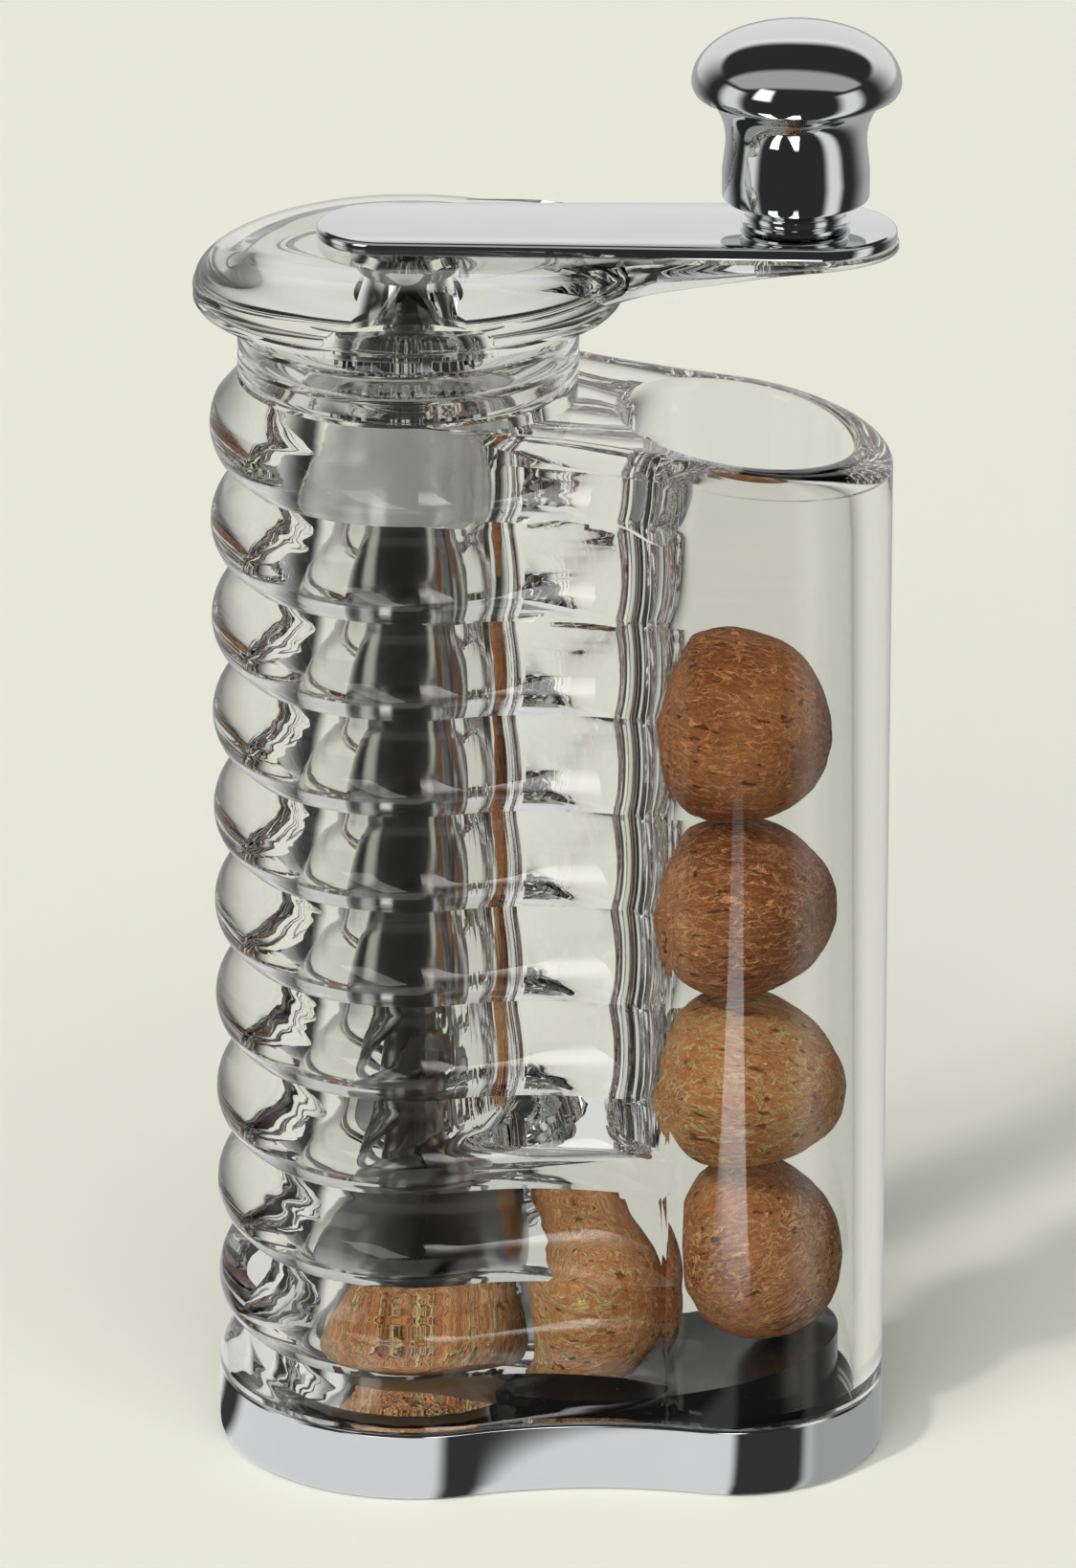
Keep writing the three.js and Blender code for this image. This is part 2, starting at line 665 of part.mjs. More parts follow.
function stripShape() {
  const shape = new THREE.Shape();
  const reach = stripKnobCentre - stripHubCentre;
  const lean = Math.asin((stripKnobRadius - stripHubRadius) / reach);
  const inset = stripBevel;
  shape.absarc(stripKnobCentre, 0, stripKnobRadius - inset, -Math.PI / 2 - lean, Math.PI / 2 + lean, false);
  shape.absarc(stripHubCentre, 0, stripHubRadius - inset, Math.PI / 2 + lean, 1.5 * Math.PI - lean, false);
  const hole = new THREE.Path();
  hole.absarc(crankRadius, 0, knobPinRadius + sideways + stripBevel, 0, 2 * Math.PI, true);
  shape.holes.push(hole);
  return shape;
}

function crankStrip() {
  return new THREE.ExtrudeGeometry(stripShape(), {
    depth: stripThickness - 2 * stripBevel,
    bevelThickness: stripBevel,
    bevelSize: stripBevel,
    bevelSegments: 1,
    curveSegments: 8,
  }).translate(0, 0, stripFoot + stripBevel);
}

// The fluted hub grips the cap's socket and plugs into the drive tube
function driveHub() {
  const cone = loft([flutedRing(hubLowRadius, hubFoot), flutedRing(hubLowRadius, hubFoot + 2.4),
    flutedRing(hubTopRadius, hubTop)]);
  const spigot = rod(tubeBore - sideways, hubFoot - hubSpigot, hubFoot + 1, 24);
  const hole = rod(hubScrewRadius + sideways, hubFoot - hubSpigot / 2, hubTop + 1, 16);
  return cut(join(cone, spigot), hole);
}

function hubScrew() {
  const seat = hubTop + gap + armEndWall + gap;
  const top = capTop - gap / 2;
  return revolve([[0, hubFoot - hubSpigot / 2 + gap], [hubScrewRadius, hubFoot - hubSpigot / 2 + gap + 1],
    [hubScrewRadius, seat], [hubScrewHead, seat], [hubScrewHead - 0.5, top], [0, top]], 20);
}

// The chromed drive tube, with a keyway at the back as long as the crank's lift
function driveTube() {
  const body = tube(tubeBore, tubeRadius, driveTubeEnd, hubFoot - gap, 28);
  const half = keyWidth / 2 + sideways;
  const keyway = block(-half, half, 0, tubeRadius + 2,
    keyFoot - liftTravel - gap, keyFoot + keyHeight + gap);
  return cut(body, keyway);
}

function springSeat() {
  const [bore, plug] = [rodRadius + sideways, tubeBore - sideways];
  const low = seatTop - seatFlange;
  return revolveRing([[bore, low], [tubeRadius, low], [tubeRadius, seatTop], [plug, seatTop],
    [plug, seatTop + seatSpigot], [bore, seatTop + seatSpigot]], 32);
}

function plungerRod() {
  const flangeFoot = plateTop + gap;
  const tail = plateTop - plateThickness - gap - nutHeight;
  const stopLow = rodTop - 1 - stopHeight - gap;
  return revolve([[0, tail], [rodTailRadius, tail], [rodTailRadius, flangeFoot],
    [rodFlangeRadius, flangeFoot], [rodFlangeRadius, flangeFoot + rodFlangeHeight],
    [rodRadius, flangeFoot + rodFlangeHeight], [rodRadius, stopLow], [rodNeckRadius, stopLow],
    [rodNeckRadius, rodTop - 1], [rodRadius, rodTop - 1], [rodRadius, rodTop], [0, rodTop]], 16);
}

// A split ring in the rod's groove, which stops the plunger leaving the tube
function rodStop() {
  const high = rodTop - 1 - gap / 2;
  return tube(rodNeckRadius + sideways, tubeBore - sideways, high - stopHeight + gap / 2, high, 28);
}

function pressurePlate() {
  const under = plateTop - plateThickness;
  const hole = rodTailRadius + sideways;
  return revolveRing([[hole, under], [plateRadius - plateSkirtWall, under],
    [plateRadius - plateSkirtWall, under - plateSkirt], [plateRadius, under - plateSkirt],
    [plateRadius, plateTop - 0.6], [plateRadius - 0.6, plateTop], [hole, plateTop]], 28);
}

function plungerNut() {
  const high = plateTop - plateThickness - gap;
  const body = rod(nutRadius, high - nutHeight, high, 6);
  return cut(body, rod(rodTailRadius + sideways, high - nutHeight - 1, high + 1, 24));
}

// A crown of pointed prongs under the pressure plate
function gripperProngs() {
  const high = plateTop - plateThickness - gap;
  const low = high - prongBand;
  const points = 2 * prongCount;
  const reach = (i) => (i % 2 ? low : high - prongBand - prongLength);
  const ring = (radius, height) => Array.from({ length: points }, (_, i) => {
    const angle = 2 * Math.PI * i / points;
    return [radius * Math.cos(angle), radius * Math.sin(angle), height(i)];
  });
  const [inner, outer] = [prongRadius - prongWall / 2, prongRadius + prongWall / 2];
  const rings = [ring(outer, reach), ring(outer, () => high), ring(inner, () => high), ring(inner, reach)];
  const positions = rings.flat(2);
  const index = [];
  for (let i = 0; i < rings.length; i += 1) {
    for (let j = 0; j < points; j += 1) {
      const next = (j + 1) % points;
      const other = (i + 1) % rings.length;
      const [a, b, c, d] = [i * points + j, i * points + next, other * points + j, other * points + next];
      index.push(a, b, c, b, d, c);
    }
  }
  const geometry = new THREE.BufferGeometry();
  geometry.setAttribute('position', new THREE.Float32BufferAttribute(positions, 3));
  geometry.setIndex(index);
  return geometry;
}

// Centre line of the pressure spring: a leg square to each seat and a steady helix between them
function springPath() {
  const low = plateTop + gap;
  const high = seatTop - seatFlange - gap;
  const leg = springWire;
  const bottom = low + leg;
  const top = high - leg;
  const count = springTurns * springSteps;
  const path = [[springRadius, 0, low]];
  for (let i = 0; i <= count; i += 1) {
    const angle = 2 * Math.PI * i / springSteps;
    const z = bottom + (top - bottom) * i / count;
    path.push([springRadius * Math.cos(angle), springRadius * Math.sin(angle), z]);
  }
  const last = path[path.length - 1];
  path.push([last[0], last[1], high]);
  return path.map((point) => new THREE.Vector3(...point));
}

function pressureSpring() {
  const path = springPath();
  const rings = path.map((point, i) => {
    const before = path[Math.max(0, i - 1)];
    const after = path[Math.min(path.length - 1, i + 1)];
    const straight = i === 0 || i === path.length - 1;
    const ahead = straight ? new THREE.Vector3(0, 0, 1) : after.clone().sub(before).normalize();
    const outward = new THREE.Vector3(point.x, point.y, 0).normalize();
    const across = new THREE.Vector3().crossVectors(ahead, outward).normalize();
    const radial = new THREE.Vector3().crossVectors(across, ahead);
    return Array.from({ length: springSides }, (_, j) => {
      const angle = 2 * Math.PI * j / springSides;
      const offset = radial.clone().multiplyScalar(Math.cos(angle)).addScaledVector(across, Math.sin(angle));
      return point.clone().addScaledVector(offset, springWire / 2).toArray();
    });
  });
  return loft(rings);
}

// Least clear distance between points of the wire that lie more than half a turn apart
function springSelfGap() {
  const path = springPath();
  let least = Infinity;
  for (let i = 0; i < path.length; i += 1) {
    for (let j = i + springSteps / 2 + 1; j < path.length; j += 1) {
      least = Math.min(least, path[i].distanceTo(path[j]) - springWire);
    }
  }
  return least;
}

function knobCollar() {
  const bore = knobPinRadius + sideways;
  const top = collarFoot + knobCollarHeight;
  return revolveRing([[bore, collarFoot], [knobCollarRadius, collarFoot],
    [knobCollarRadius - 0.5, collarFoot + knobCollarHeight / 2], [knobCollarRadius, top - 0.4],
    [knobCollarRadius - 0.4, top], [bore, top]], 32);
}

// The knob: a waisted stem that flares under a flattened dome, bored for its pin and clip
function knob() {
  const stemTop = knobFoot + knobStemHeight;
  const domeFoot = stemTop + knobFlareHeight;
  const bore = knobPinRadius + sideways;
  const boreTop = knobFoot + knobBoreDepth;
  const groove = boreTop - clipDrop - clipHeight - 2 * gap;
  const profile = [[0, boreTop], [bore, boreTop], [bore, boreTop - clipDrop],
    [bore + clipReach, boreTop - clipDrop], [bore + clipReach, groove], [bore, groove], [bore, knobFoot],
    [knobStemRadius - knobEase, knobFoot], [knobStemRadius, knobFoot + knobEase],
    [knobStemRadius, knobFoot + knobStemHeight / 3], [knobWaistRadius, stemTop]];
  const flare = knobDomeRadius - knobWaistRadius;
  [0.25, 0.5, 0.75].forEach((part) => {
    const turn = part * Math.PI / 2;
    profile.push([knobWaistRadius + flare * (1 - Math.cos(turn)),
      stemTop + 0.9 * knobFlareHeight * Math.sin(turn)]);
  });
  const domeSteps = 4;
  for (let i = 0; i < domeSteps; i += 1) {
    const turn = (i / domeSteps) * Math.PI / 2;
    profile.push([knobDomeRadius * Math.cos(turn), domeFoot + knobDomeHeight * Math.sin(turn)]);
  }
  profile.push([0, domeFoot + knobDomeHeight]);
  return revolve(profile, 26);
}

// The pin comes up through the arm, the strip and the collar, with a flat head under the arm
function knobPin() {
  const headTop = pinSeatHeight() - gap;
  const top = knobFoot + knobBoreDepth - gap;
  const grooveHigh = knobFoot + knobBoreDepth - clipDrop - gap / 2;
  const grooveLow = grooveHigh - clipHeight - gap;
  const neck = knobPinRadius - clipGroove;
  return revolve([[0, headTop - knobPinHeadHeight], [knobPinHead, headTop - knobPinHeadHeight],
    [knobPinHead, headTop], [knobPinRadius, headTop], [knobPinRadius, grooveLow], [neck, grooveLow],
    [neck, grooveHigh], [knobPinRadius, grooveHigh], [knobPinRadius, top], [0, top]], 20);
}

function pinClip() {
  const high = knobFoot + knobBoreDepth - clipDrop - gap;
  return tube(knobPinRadius - clipGroove + sideways, knobPinRadius + clipReach, high - clipHeight, high, 24);
}

function nutmeg({ half, tilt }) {
  const body = new THREE.SphereGeometry(1, 14, 8).rotateX(Math.PI / 2);
  return body.scale(...half).rotateY(tilt * Math.PI / 180);
}

// Sizes and places of the whole nutmegs: the stack stands on the ramp, each with a gap to the next
function placedNutmegs() {
  const placed = nutmegShapes.map(({ along, across, up, aside, behind, tilt }) => ({
    half: [along, across, up].map((share) => share * nutmegRadius),
    at: [chamberSpacing + aside * nutmegRadius, behind * nutmegRadius, 0],
    tilt,
  }));
  const onRamp = ({ at, half }) => rampHeight(at[0], at[1]) + rampClearance + half[2];
  placed.slice(stackCount - 1).forEach((one) => {
    one.at[2] = onRamp(one);
  });
  for (let i = stackCount - 2; i >= 0; i -= 1) {
    const below = placed[i + 1];
    placed[i].at[2] = below.at[2] + below.half[2] + gap + placed[i].half[2];
  }
  return placed;
}

// The nutmeg in work: its lower side is ground flat
function groundNutmeg() {
  const equator = nutmegFoot + groundEquator;
  const profile = [[0, nutmegFoot], [groundFlatRadius, nutmegFoot],
    [(groundFlatRadius + groundRadius) / 2 + 0.3, nutmegFoot + groundEquator * 0.45]];
  const steps = 5;
  for (let i = 0; i < steps; i += 1) {
    const turn = (i / steps) * Math.PI / 2;
    profile.push([groundRadius * Math.cos(turn), equator + (groundHeight - groundEquator) * Math.sin(turn)]);
  }
  profile.push([0, nutmegFoot + groundHeight]);
  return revolve(profile, 24);
}

// Materials
const clear = new THREE.MeshStandardMaterial({
  color: 0xeef2ee, roughness: 0.04, transparent: true, opacity: 0.3,
});
const chrome = new THREE.MeshStandardMaterial({ color: 0xc8c9cb, roughness: 0.06, metalness: 1 });
const steel = new THREE.MeshStandardMaterial({ color: 0xa8a9ab, roughness: 0.28, metalness: 1 });
const black = new THREE.MeshStandardMaterial({ color: 0x121213, roughness: 0.3 });
const spice = new THREE.MeshStandardMaterial({ color: 0x9a5f38, roughness: 0.75 });

const mill = new THREE.Group();
mill.position.x = -originX;
const housing = new THREE.Group();
const crank = new THREE.Group();
crank.rotation.z = crankRestAngle;
mill.add(housing, crank);

function add(group, name, geometry, material, position = [0, 0, 0]) {
  const mesh = new THREE.Mesh(closedShell(geometry), material.clone());
  mesh.name = name;
  mesh.position.set(...position);
  group.add(mesh);
}

add(housing, 'housing_body', housingBody(), clear);
add(housing, 'neck_collar', neckCollar(), clear);
add(housing, 'shaft_bush', shaftBush(), clear);
add(housing, 'base_ring', baseRing(), chrome);
add(housing, 'grater_carrier', graterCarrier(), black);
add(housing, 'grater_plate', graterPlate(), steel);
add(housing, 'feed_ramp', feedRamp(), black);
screwPlaces.forEach(([x, y], i) => add(housing, `base_screw_${i + 1}`, baseScrew(), steel, [x, y, 0]));
placedNutmegs().forEach((one, i) => add(housing, `nutmeg_${i + 1}`, nutmeg(one), spice, one.at));

add(crank, 'guide_sleeve', guideSleeve(), chrome);
add(crank, 'crank_cap', crankCap(), clear);
add(crank, 'crank_strip', crankStrip(), chrome);
add(crank, 'drive_hub', driveHub(), chrome);
add(crank, 'hub_screw', hubScrew(), steel);
add(crank, 'drive_tube', driveTube(), chrome);
add(crank, 'spring_seat', springSeat(), steel);
add(crank, 'pressure_spring', pressureSpring(), steel);
add(crank, 'knob_collar', knobCollar(), chrome, [crankRadius, 0, 0]);
add(crank, 'knob_pin', knobPin(), steel, [crankRadius, 0, 0]);
add(crank, 'knob', knob(), chrome, [crankRadius, 0, 0]);
add(crank, 'pin_clip', pinClip(), steel, [crankRadius, 0, 0]);

add(crank, 'plunger_rod', plungerRod(), steel);
add(crank, 'rod_stop', rodStop(), steel);
add(crank, 'pressure_plate', pressurePlate(), steel);
add(crank, 'plunger_nut', plungerNut(), steel);
add(crank, 'gripper_prongs', gripperProngs(), steel);
add(crank, 'nutmeg_6', groundNutmeg(), spice);

console.log(`pressure spring: least gap to itself ${springSelfGap().toFixed(2)} mm`);

export default mill;
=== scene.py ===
import math

import bpy
import numpy as np
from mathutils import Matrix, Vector, noise


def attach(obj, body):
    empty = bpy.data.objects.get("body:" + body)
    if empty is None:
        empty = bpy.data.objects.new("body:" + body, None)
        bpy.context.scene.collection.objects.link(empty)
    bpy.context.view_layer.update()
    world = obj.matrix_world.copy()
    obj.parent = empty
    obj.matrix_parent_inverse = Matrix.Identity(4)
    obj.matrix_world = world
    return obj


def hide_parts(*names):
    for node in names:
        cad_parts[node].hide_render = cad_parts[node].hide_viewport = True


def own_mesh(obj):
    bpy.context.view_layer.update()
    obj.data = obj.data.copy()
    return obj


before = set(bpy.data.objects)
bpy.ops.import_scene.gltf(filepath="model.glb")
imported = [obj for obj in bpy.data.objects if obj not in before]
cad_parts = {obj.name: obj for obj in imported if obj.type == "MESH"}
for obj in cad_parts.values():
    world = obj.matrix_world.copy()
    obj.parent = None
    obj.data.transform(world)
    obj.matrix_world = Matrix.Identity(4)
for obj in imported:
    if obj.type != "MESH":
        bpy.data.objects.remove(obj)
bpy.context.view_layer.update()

# Sizes of the mill in millimetres, with the crank's axis at x = 0 and the floor at z = 0
GAP = 0.3
SPACING = 36.5
# Radii of the ribs' crests on the grinding lobe, of the storage lobe, and of the hollow sides
CREST, LOBE, WAIST = 22.0, 17.1, 50.0
RING_HEIGHT = 8.4
# The ribs' spacing, their number, and the radius of their arcs
PITCH, RIBS, ROUND = 11.33, 10, 6.55
# The deck's slope, its height over the storage bore, its rounded edge, and where the lean starts
SLOPE, MOUTH = 0.142, 122.4
LIP = 2.4
SLANT_START = 100.0
GRIND_BORE, GRIND_FOOT = 11.6, 12.3
STORE_BORE, STORE_FOOT, STORE_TOP = 12.6, 13.9, 112.0
CRANK_RADIUS = 42.5
CRANK_TURN = math.radians(4.5)
CAP_RADIUS = 23.7
KNOB_RADIUS = 11.5
ORIGIN_X = (CRANK_RADIUS * math.cos(CRANK_TURN) + KNOB_RADIUS - CAP_RADIUS) / 2
VALLEY = CREST - (ROUND - math.sqrt(ROUND ** 2 - (PITCH / 2) ** 2))
LAST_CREST = RING_HEIGHT + 11.0
TOP = LAST_CREST + (RIBS - 0.5) * PITCH
FOOT = RING_HEIGHT + GAP
NECK_FOOT = TOP + GAP
NECK_TOP = NECK_FOOT + 8.4
CAP_FOOT = NECK_TOP + GAP
CAP_TOP = CAP_FOOT + 6.6
STRIP_FOOT = CAP_TOP + GAP
STRIP_TOP = STRIP_FOOT + 1.4
SLEEVE_FOOT = TOP - 15.3
RIM_FOOT = TOP + GAP
RIM_TOP = RIM_FOOT + 2.6
HUB_FOOT = RIM_TOP + GAP
HUB_HEIGHT = 8.6
HUB_TOP = HUB_FOOT + HUB_HEIGHT
KEY_FOOT = RIM_FOOT - 10
TUBE_END = 52.5
TUBE_RADIUS, TUBE_BORE = 6.8, 5.7
PLATE_TOP, PLATE_THICK = 26.0, 1.8
WIRE = 0.5
PASSAGE_TOP = 40.3
SEAT_RADIUS = 15.9
SCREW_RADIUS = 1.6
RAMP = 12.0
SCREWS = [(SPACING + 0.68 * RAMP, 0), (SPACING - 0.3 * RAMP, 0.66 * RAMP),
          (SPACING - 0.3 * RAMP, -0.66 * RAMP)]
ARM_END, ARM_ROUND = 45.2, 8.7
COLLAR_FOOT = STRIP_TOP + GAP
COLLAR_TOP = COLLAR_FOOT + 2.8
KNOB_FOOT = COLLAR_TOP + GAP


# A shell here is a list of points in mm with a list of faces that name them by number
def loft(rings):
    """Joins rings of equally many points into a closed shell with flat ends."""
    rings = np.asarray(rings, float)
    rows, count = rings.shape[:2]
    points = [tuple(p) for p in rings.reshape(-1, 3)]
    faces = []
    for i in range(rows - 1):
        for j in range(count):
            k = (j + 1) % count
            faces.append((i * count + j, i * count + k, (i + 1) * count + k, (i + 1) * count + j))
    faces.append(tuple(reversed(range(count))))
    faces.append(tuple(range((rows - 1) * count, rows * count)))
    return points, faces


def revolve(profile, segments=96, closed=False):
    """Turns [radius, height] pairs about the z axis. Radius 0 makes a pole."""
    points, rows, faces = [], [], []
    for r, z in profile:
        if r < 1e-6:
            rows.append([len(points)])
            points.append((0.0, 0.0, z))
            continue
        rows.append(list(range(len(points), len(points) + segments)))
        for j in range(segments):
            a = 2 * math.pi * j / segments
            points.append((r * math.cos(a), r * math.sin(a), z))
    pairs = list(zip(rows, rows[1:]))
    if closed:
        pairs.append((rows[-1], rows[0]))
    for low, high in pairs:
        for j in range(segments):
            k = (j + 1) % segments
            if len(low) == 1 and len(high) == 1:
                continue
            if len(low) == 1:
                faces.append((low[0], high[k], high[j]))
            elif len(high) == 1:
                faces.append((low[j], low[k], high[0]))
            else:
                faces.append((low[j], low[k], high[k], high[j]))
    return points, faces


def rod(radius, low, high, segments=96):
    return revolve([[0, low], [radius, low], [radius, high], [0, high]], segments)


def tube(inner, outer, low, high, ease=0.2, segments=128):
    """A tube with softened end edges."""
    e = ease
    return revolve([[inner, low + e], [inner + e, low], [outer - e, low], [outer, low + e],
                    [outer, high - e], [outer - e, high], [inner + e, high], [inner, high - e]],
                   segments, closed=True)


def block(x0, x1, y0, y1, z0, z1):
    return loft([[(x0, y0, z), (x1, y0, z), (x1, y1, z), (x0, y1, z)] for z in (z0, z1)])


def moved(shell, offset):
    points, faces = shell
    return (np.asarray(points, float) + np.asarray(offset, float)).tolist(), faces


def temporary(shell, name="blank"):
    """An object of a shell, with its faces turned outwards."""
    mesh = bpy.data.meshes.new(name)
    mesh.from_pydata([tuple(p) for p in shell[0]], [], shell[1])
    mesh.update()
    made = bpy.data.objects.new(name, mesh)
    bpy.context.scene.collection.objects.link(made)
    volume = 0.0
    for polygon in mesh.polygons:
        volume += polygon.center.dot(polygon.normal) * polygon.area
    if volume < 0:
        mesh.flip_normals()
    return made


def combine(base, steps):
    """Applies a list of (operation, shell) to a shell and returns the result as a shell."""
    main = temporary(base)
    others = []
    for operation, shell in steps:
        other = temporary(shell, "tool")
        others.append(other)
        step = main.modifiers.new("step", "BOOLEAN")
        step.operation = operation
        step.solver = "MANIFOLD"
        step.object = other
    graph = bpy.context.evaluated_depsgraph_get()
    mesh = bpy.data.meshes.new_from_object(main.evaluated_get(graph))
    shell = [tuple(v.co) for v in mesh.vertices], [tuple(p.vertices) for p in mesh.polygons]
    bpy.data.meshes.remove(mesh)
    for made in [main, *others]:
        data = made.data
        bpy.data.objects.remove(made)
        bpy.data.meshes.remove(data)
    return shell


def cut(base, *tools):
    return combine(base, [("DIFFERENCE", t) for t in tools])


def join(base, *others):
    return combine(base, [("UNION", t) for t in others])


def smooth(low, high, x):
    t = np.clip((np.asarray(x, float) - low) / (high - low), 0, 1)
    return t * t * (3 - 2 * t)


def lobes(grind, store, side, steps=(72, 20, 40)):
    """The plan outline: two lobes joined by hollow sides that touch both."""
    total = grind + store + 2 * side
    sx = (SPACING ** 2 + (grind - store) * total) / (2 * SPACING)
    sy = math.sqrt((grind + side) ** 2 - sx ** 2)
    left, right = math.atan2(sy, sx), math.atan2(sy, sx - SPACING)
    n, m, k = steps
    parts = [
        (0, 0, grind, left + (2 * math.pi - 2 * left) * np.arange(n) / n),
        (sx, -sy, side, math.pi - left + (left - right) * np.arange(m) / m),
        (SPACING, 0, store, -right + 2 * right * np.arange(k) / k),
        (sx, sy, side, math.pi + right + (left - right) * np.arange(m) / m),
    ]
    return np.concatenate([np.stack([x + r * np.cos(a), y + r * np.sin(a)], 1) for x, y, r, a in parts])


def inset_lobes(inset, grind=CREST):
    return lobes(grind - inset, LOBE - inset, WAIST + inset)


def flat(outline, z):
    return np.column_stack([outline, np.full(len(outline), z)])


def prism(outline, low, high):
    return loft([flat(outline, z) for z in (low, high)])


def deck_height(x):
    """The top of the moulding: level round the crank, and leaning down over the storage bore."""
    return np.minimum(TOP, MOUTH + SLOPE * (SPACING - x))


def leaned(x, level):
    """Where a level of the straight moulding comes to lie once its top leans like the deck."""
    share = max(0.0, level - SLANT_START) / (TOP - SLANT_START)
    return min(level, SLANT_START) + share * (deck_height(x) - SLANT_START)


def rib_radius(z):
    """Radius of the grinding lobe at a height: arcs that meet in slightly filled valleys."""
    offset = (((z - LAST_CREST) / PITCH + 0.5) % 1 - 0.5) * PITCH
    base = CREST - ROUND + math.sqrt(ROUND ** 2 - offset ** 2)
    fillet = 0.35
    edge = PITCH / 2 - abs(offset)
    return base + fillet * 0.5 * max(0.0, 1 - edge / 0.7) ** 2


def above_deck():
    """Everything over the leaning deck, to be cut away."""
    corners = [(-70, -70), (140, -70), (140, 70), (-70, 70)]
    return loft([[(x, y, MOUTH + SLOPE * (SPACING - x)) for x, y in corners],
                 [(x, y, 300) for x, y in corners]])


def with_deck(shell):
    """Moves a shell made about the storage axis, zero on the deck, into the plane of the deck."""
    points, faces = shell
    return [(x + SPACING, y, z + MOUTH - SLOPE * x) for x, y, z in points], faces


def casing():
    """The clear moulding: ribs, deck, turret under the neck, both bores, mouth and passage."""
    plan_x = inset_lobes(0)[:, 0]
    lean = smooth(4, 20, plan_x)
    ribbed = 1 - smooth(8, 35, plan_x)
    rows = {}

    def plan(level, inset):
        out = []
        for i, height in enumerate(leaned(plan_x, level)):
            depth = round(float(ribbed[i] * (CREST - rib_radius(float(height))) + inset * lean[i]), 4)
            if depth not in rows:
                rows[depth] = inset_lobes(depth)
            out.append(rows[depth][i])
        return np.array(out)

    def ring(level, inset=0.0, drop=0.0):
        return np.column_stack([plan(level, inset), leaned(plan_x, level) - drop * lean])

    levels = [FOOT]
    steps = 16
    first_valley = LAST_CREST - PITCH / 2
    levels += list(np.linspace(FOOT, first_valley, 10)[1:-1])
    for rib in range(RIBS):
        start = first_valley + rib * PITCH
        levels += [start + PITCH * i / steps for i in range(steps)]
    rings = [ring(z) for z in levels if z < TOP - LIP]
    for turn in np.radians(np.linspace(0, 90, 9)):
        rings.append(ring(TOP, LIP * (1 - math.cos(turn)), LIP * (1 - math.sin(turn))))
    deck = cut(prism(plan(TOP, LIP + 0.05), SLANT_START, TOP), above_deck())
    turret = revolve([[0, SLANT_START], [VALLEY, SLANT_START], [VALLEY, TOP - 0.4],
                      [VALLEY - 0.12, TOP - 0.12], [VALLEY - 0.4, TOP], [0, TOP]], 192)
    spigot = prism(inset_lobes(1.3), FOOT - 3, FOOT + 1)
    low = FOOT - 4
    grinding = revolve([[0, low], [GRIND_FOOT, low], [GRIND_BORE, TOP + 1], [0, TOP + 1]], 192)
    seat = rod(SEAT_RADIUS, low, 8.1, 128)
    storage = revolve([[0, low], [STORE_FOOT, low], [STORE_BORE, STORE_TOP], [0, STORE_TOP]], 192)
    flare = [[STORE_BORE + out, z] for out, z in
             ((0, -1.6), (0.1, -1.0), (0.3, -0.5), (0.65, -0.16), (1.1, 0.0))]
    mouth = with_deck(revolve([[0, STORE_TOP - 1 - MOUTH], [STORE_BORE, STORE_TOP - 1 - MOUTH], *flare,
                               [STORE_BORE + 1.1, 3], [0, 3]], 192))
    return cut(join(loft(rings), deck, turret, spigot), grinding, moved(storage, (SPACING, 0, 0)), mouth,
               passage(low), seat)


def bore_radius(foot, top, height, z):
    low = FOOT - 4
    return foot + (top - foot) * (z - low) / (height - low)


def passage(low):
    """The way between the bores under a falling ceiling with rounded ends and hollow corners."""
    soft, corner = 0.9, 1.5
    half = bore_radius(GRIND_FOOT, GRIND_BORE, TOP + 1, PASSAGE_TOP)
    xs = np.linspace(0.0, SPACING, 110)
    ys = half * np.sin(np.linspace(-math.pi / 2, math.pi / 2, 70))
    x, y = np.meshgrid(xs, ys, indexing="ij")
    base = np.full_like(x, PASSAGE_TOP)
    near = np.minimum(np.hypot(x, y) - bore_radius(GRIND_FOOT, GRIND_BORE, TOP + 1, base),
                      np.hypot(x - SPACING, y) - bore_radius(STORE_FOOT, STORE_BORE, STORE_TOP, base))
    t = 1 - np.clip(near, 0, soft) / soft
    rise = soft * (1 - np.sqrt(np.clip(1 - t ** 2, 0, 1)))
    w = 1 - np.clip(half - np.abs(y), 0, corner) / corner
    fall = corner * (1 - np.sqrt(np.clip(1 - w ** 2, 0, 1)))
    top = base + rise - fall
    rows, columns = x.shape
    bottom = np.stack([x, y * GRIND_FOOT / half, np.full_like(x, low)], 2)
    points = np.concatenate([np.stack([x, y, top], 2).reshape(-1, 3), bottom.reshape(-1, 3)])
    total = rows * columns
    faces = []
    for i in range(rows - 1):
        for j in range(columns - 1):
            a, b = i * columns + j, (i + 1) * columns + j
            c, d = b + 1, a + 1
            faces += [(a, b, c, d), (total + d, total + c, total + b, total + a)]
    rim = [i * columns for i in range(rows)] + [(rows - 1) * columns + j for j in range(1, columns)]
    rim += [i * columns + columns - 1 for i in range(rows - 2, -1, -1)] + list(range(columns - 2, 0, -1))
    for p, q in zip(rim, rim[1:] + rim[:1]):
        faces.append((q, p, total + p, total + q))
    return points.tolist(), faces


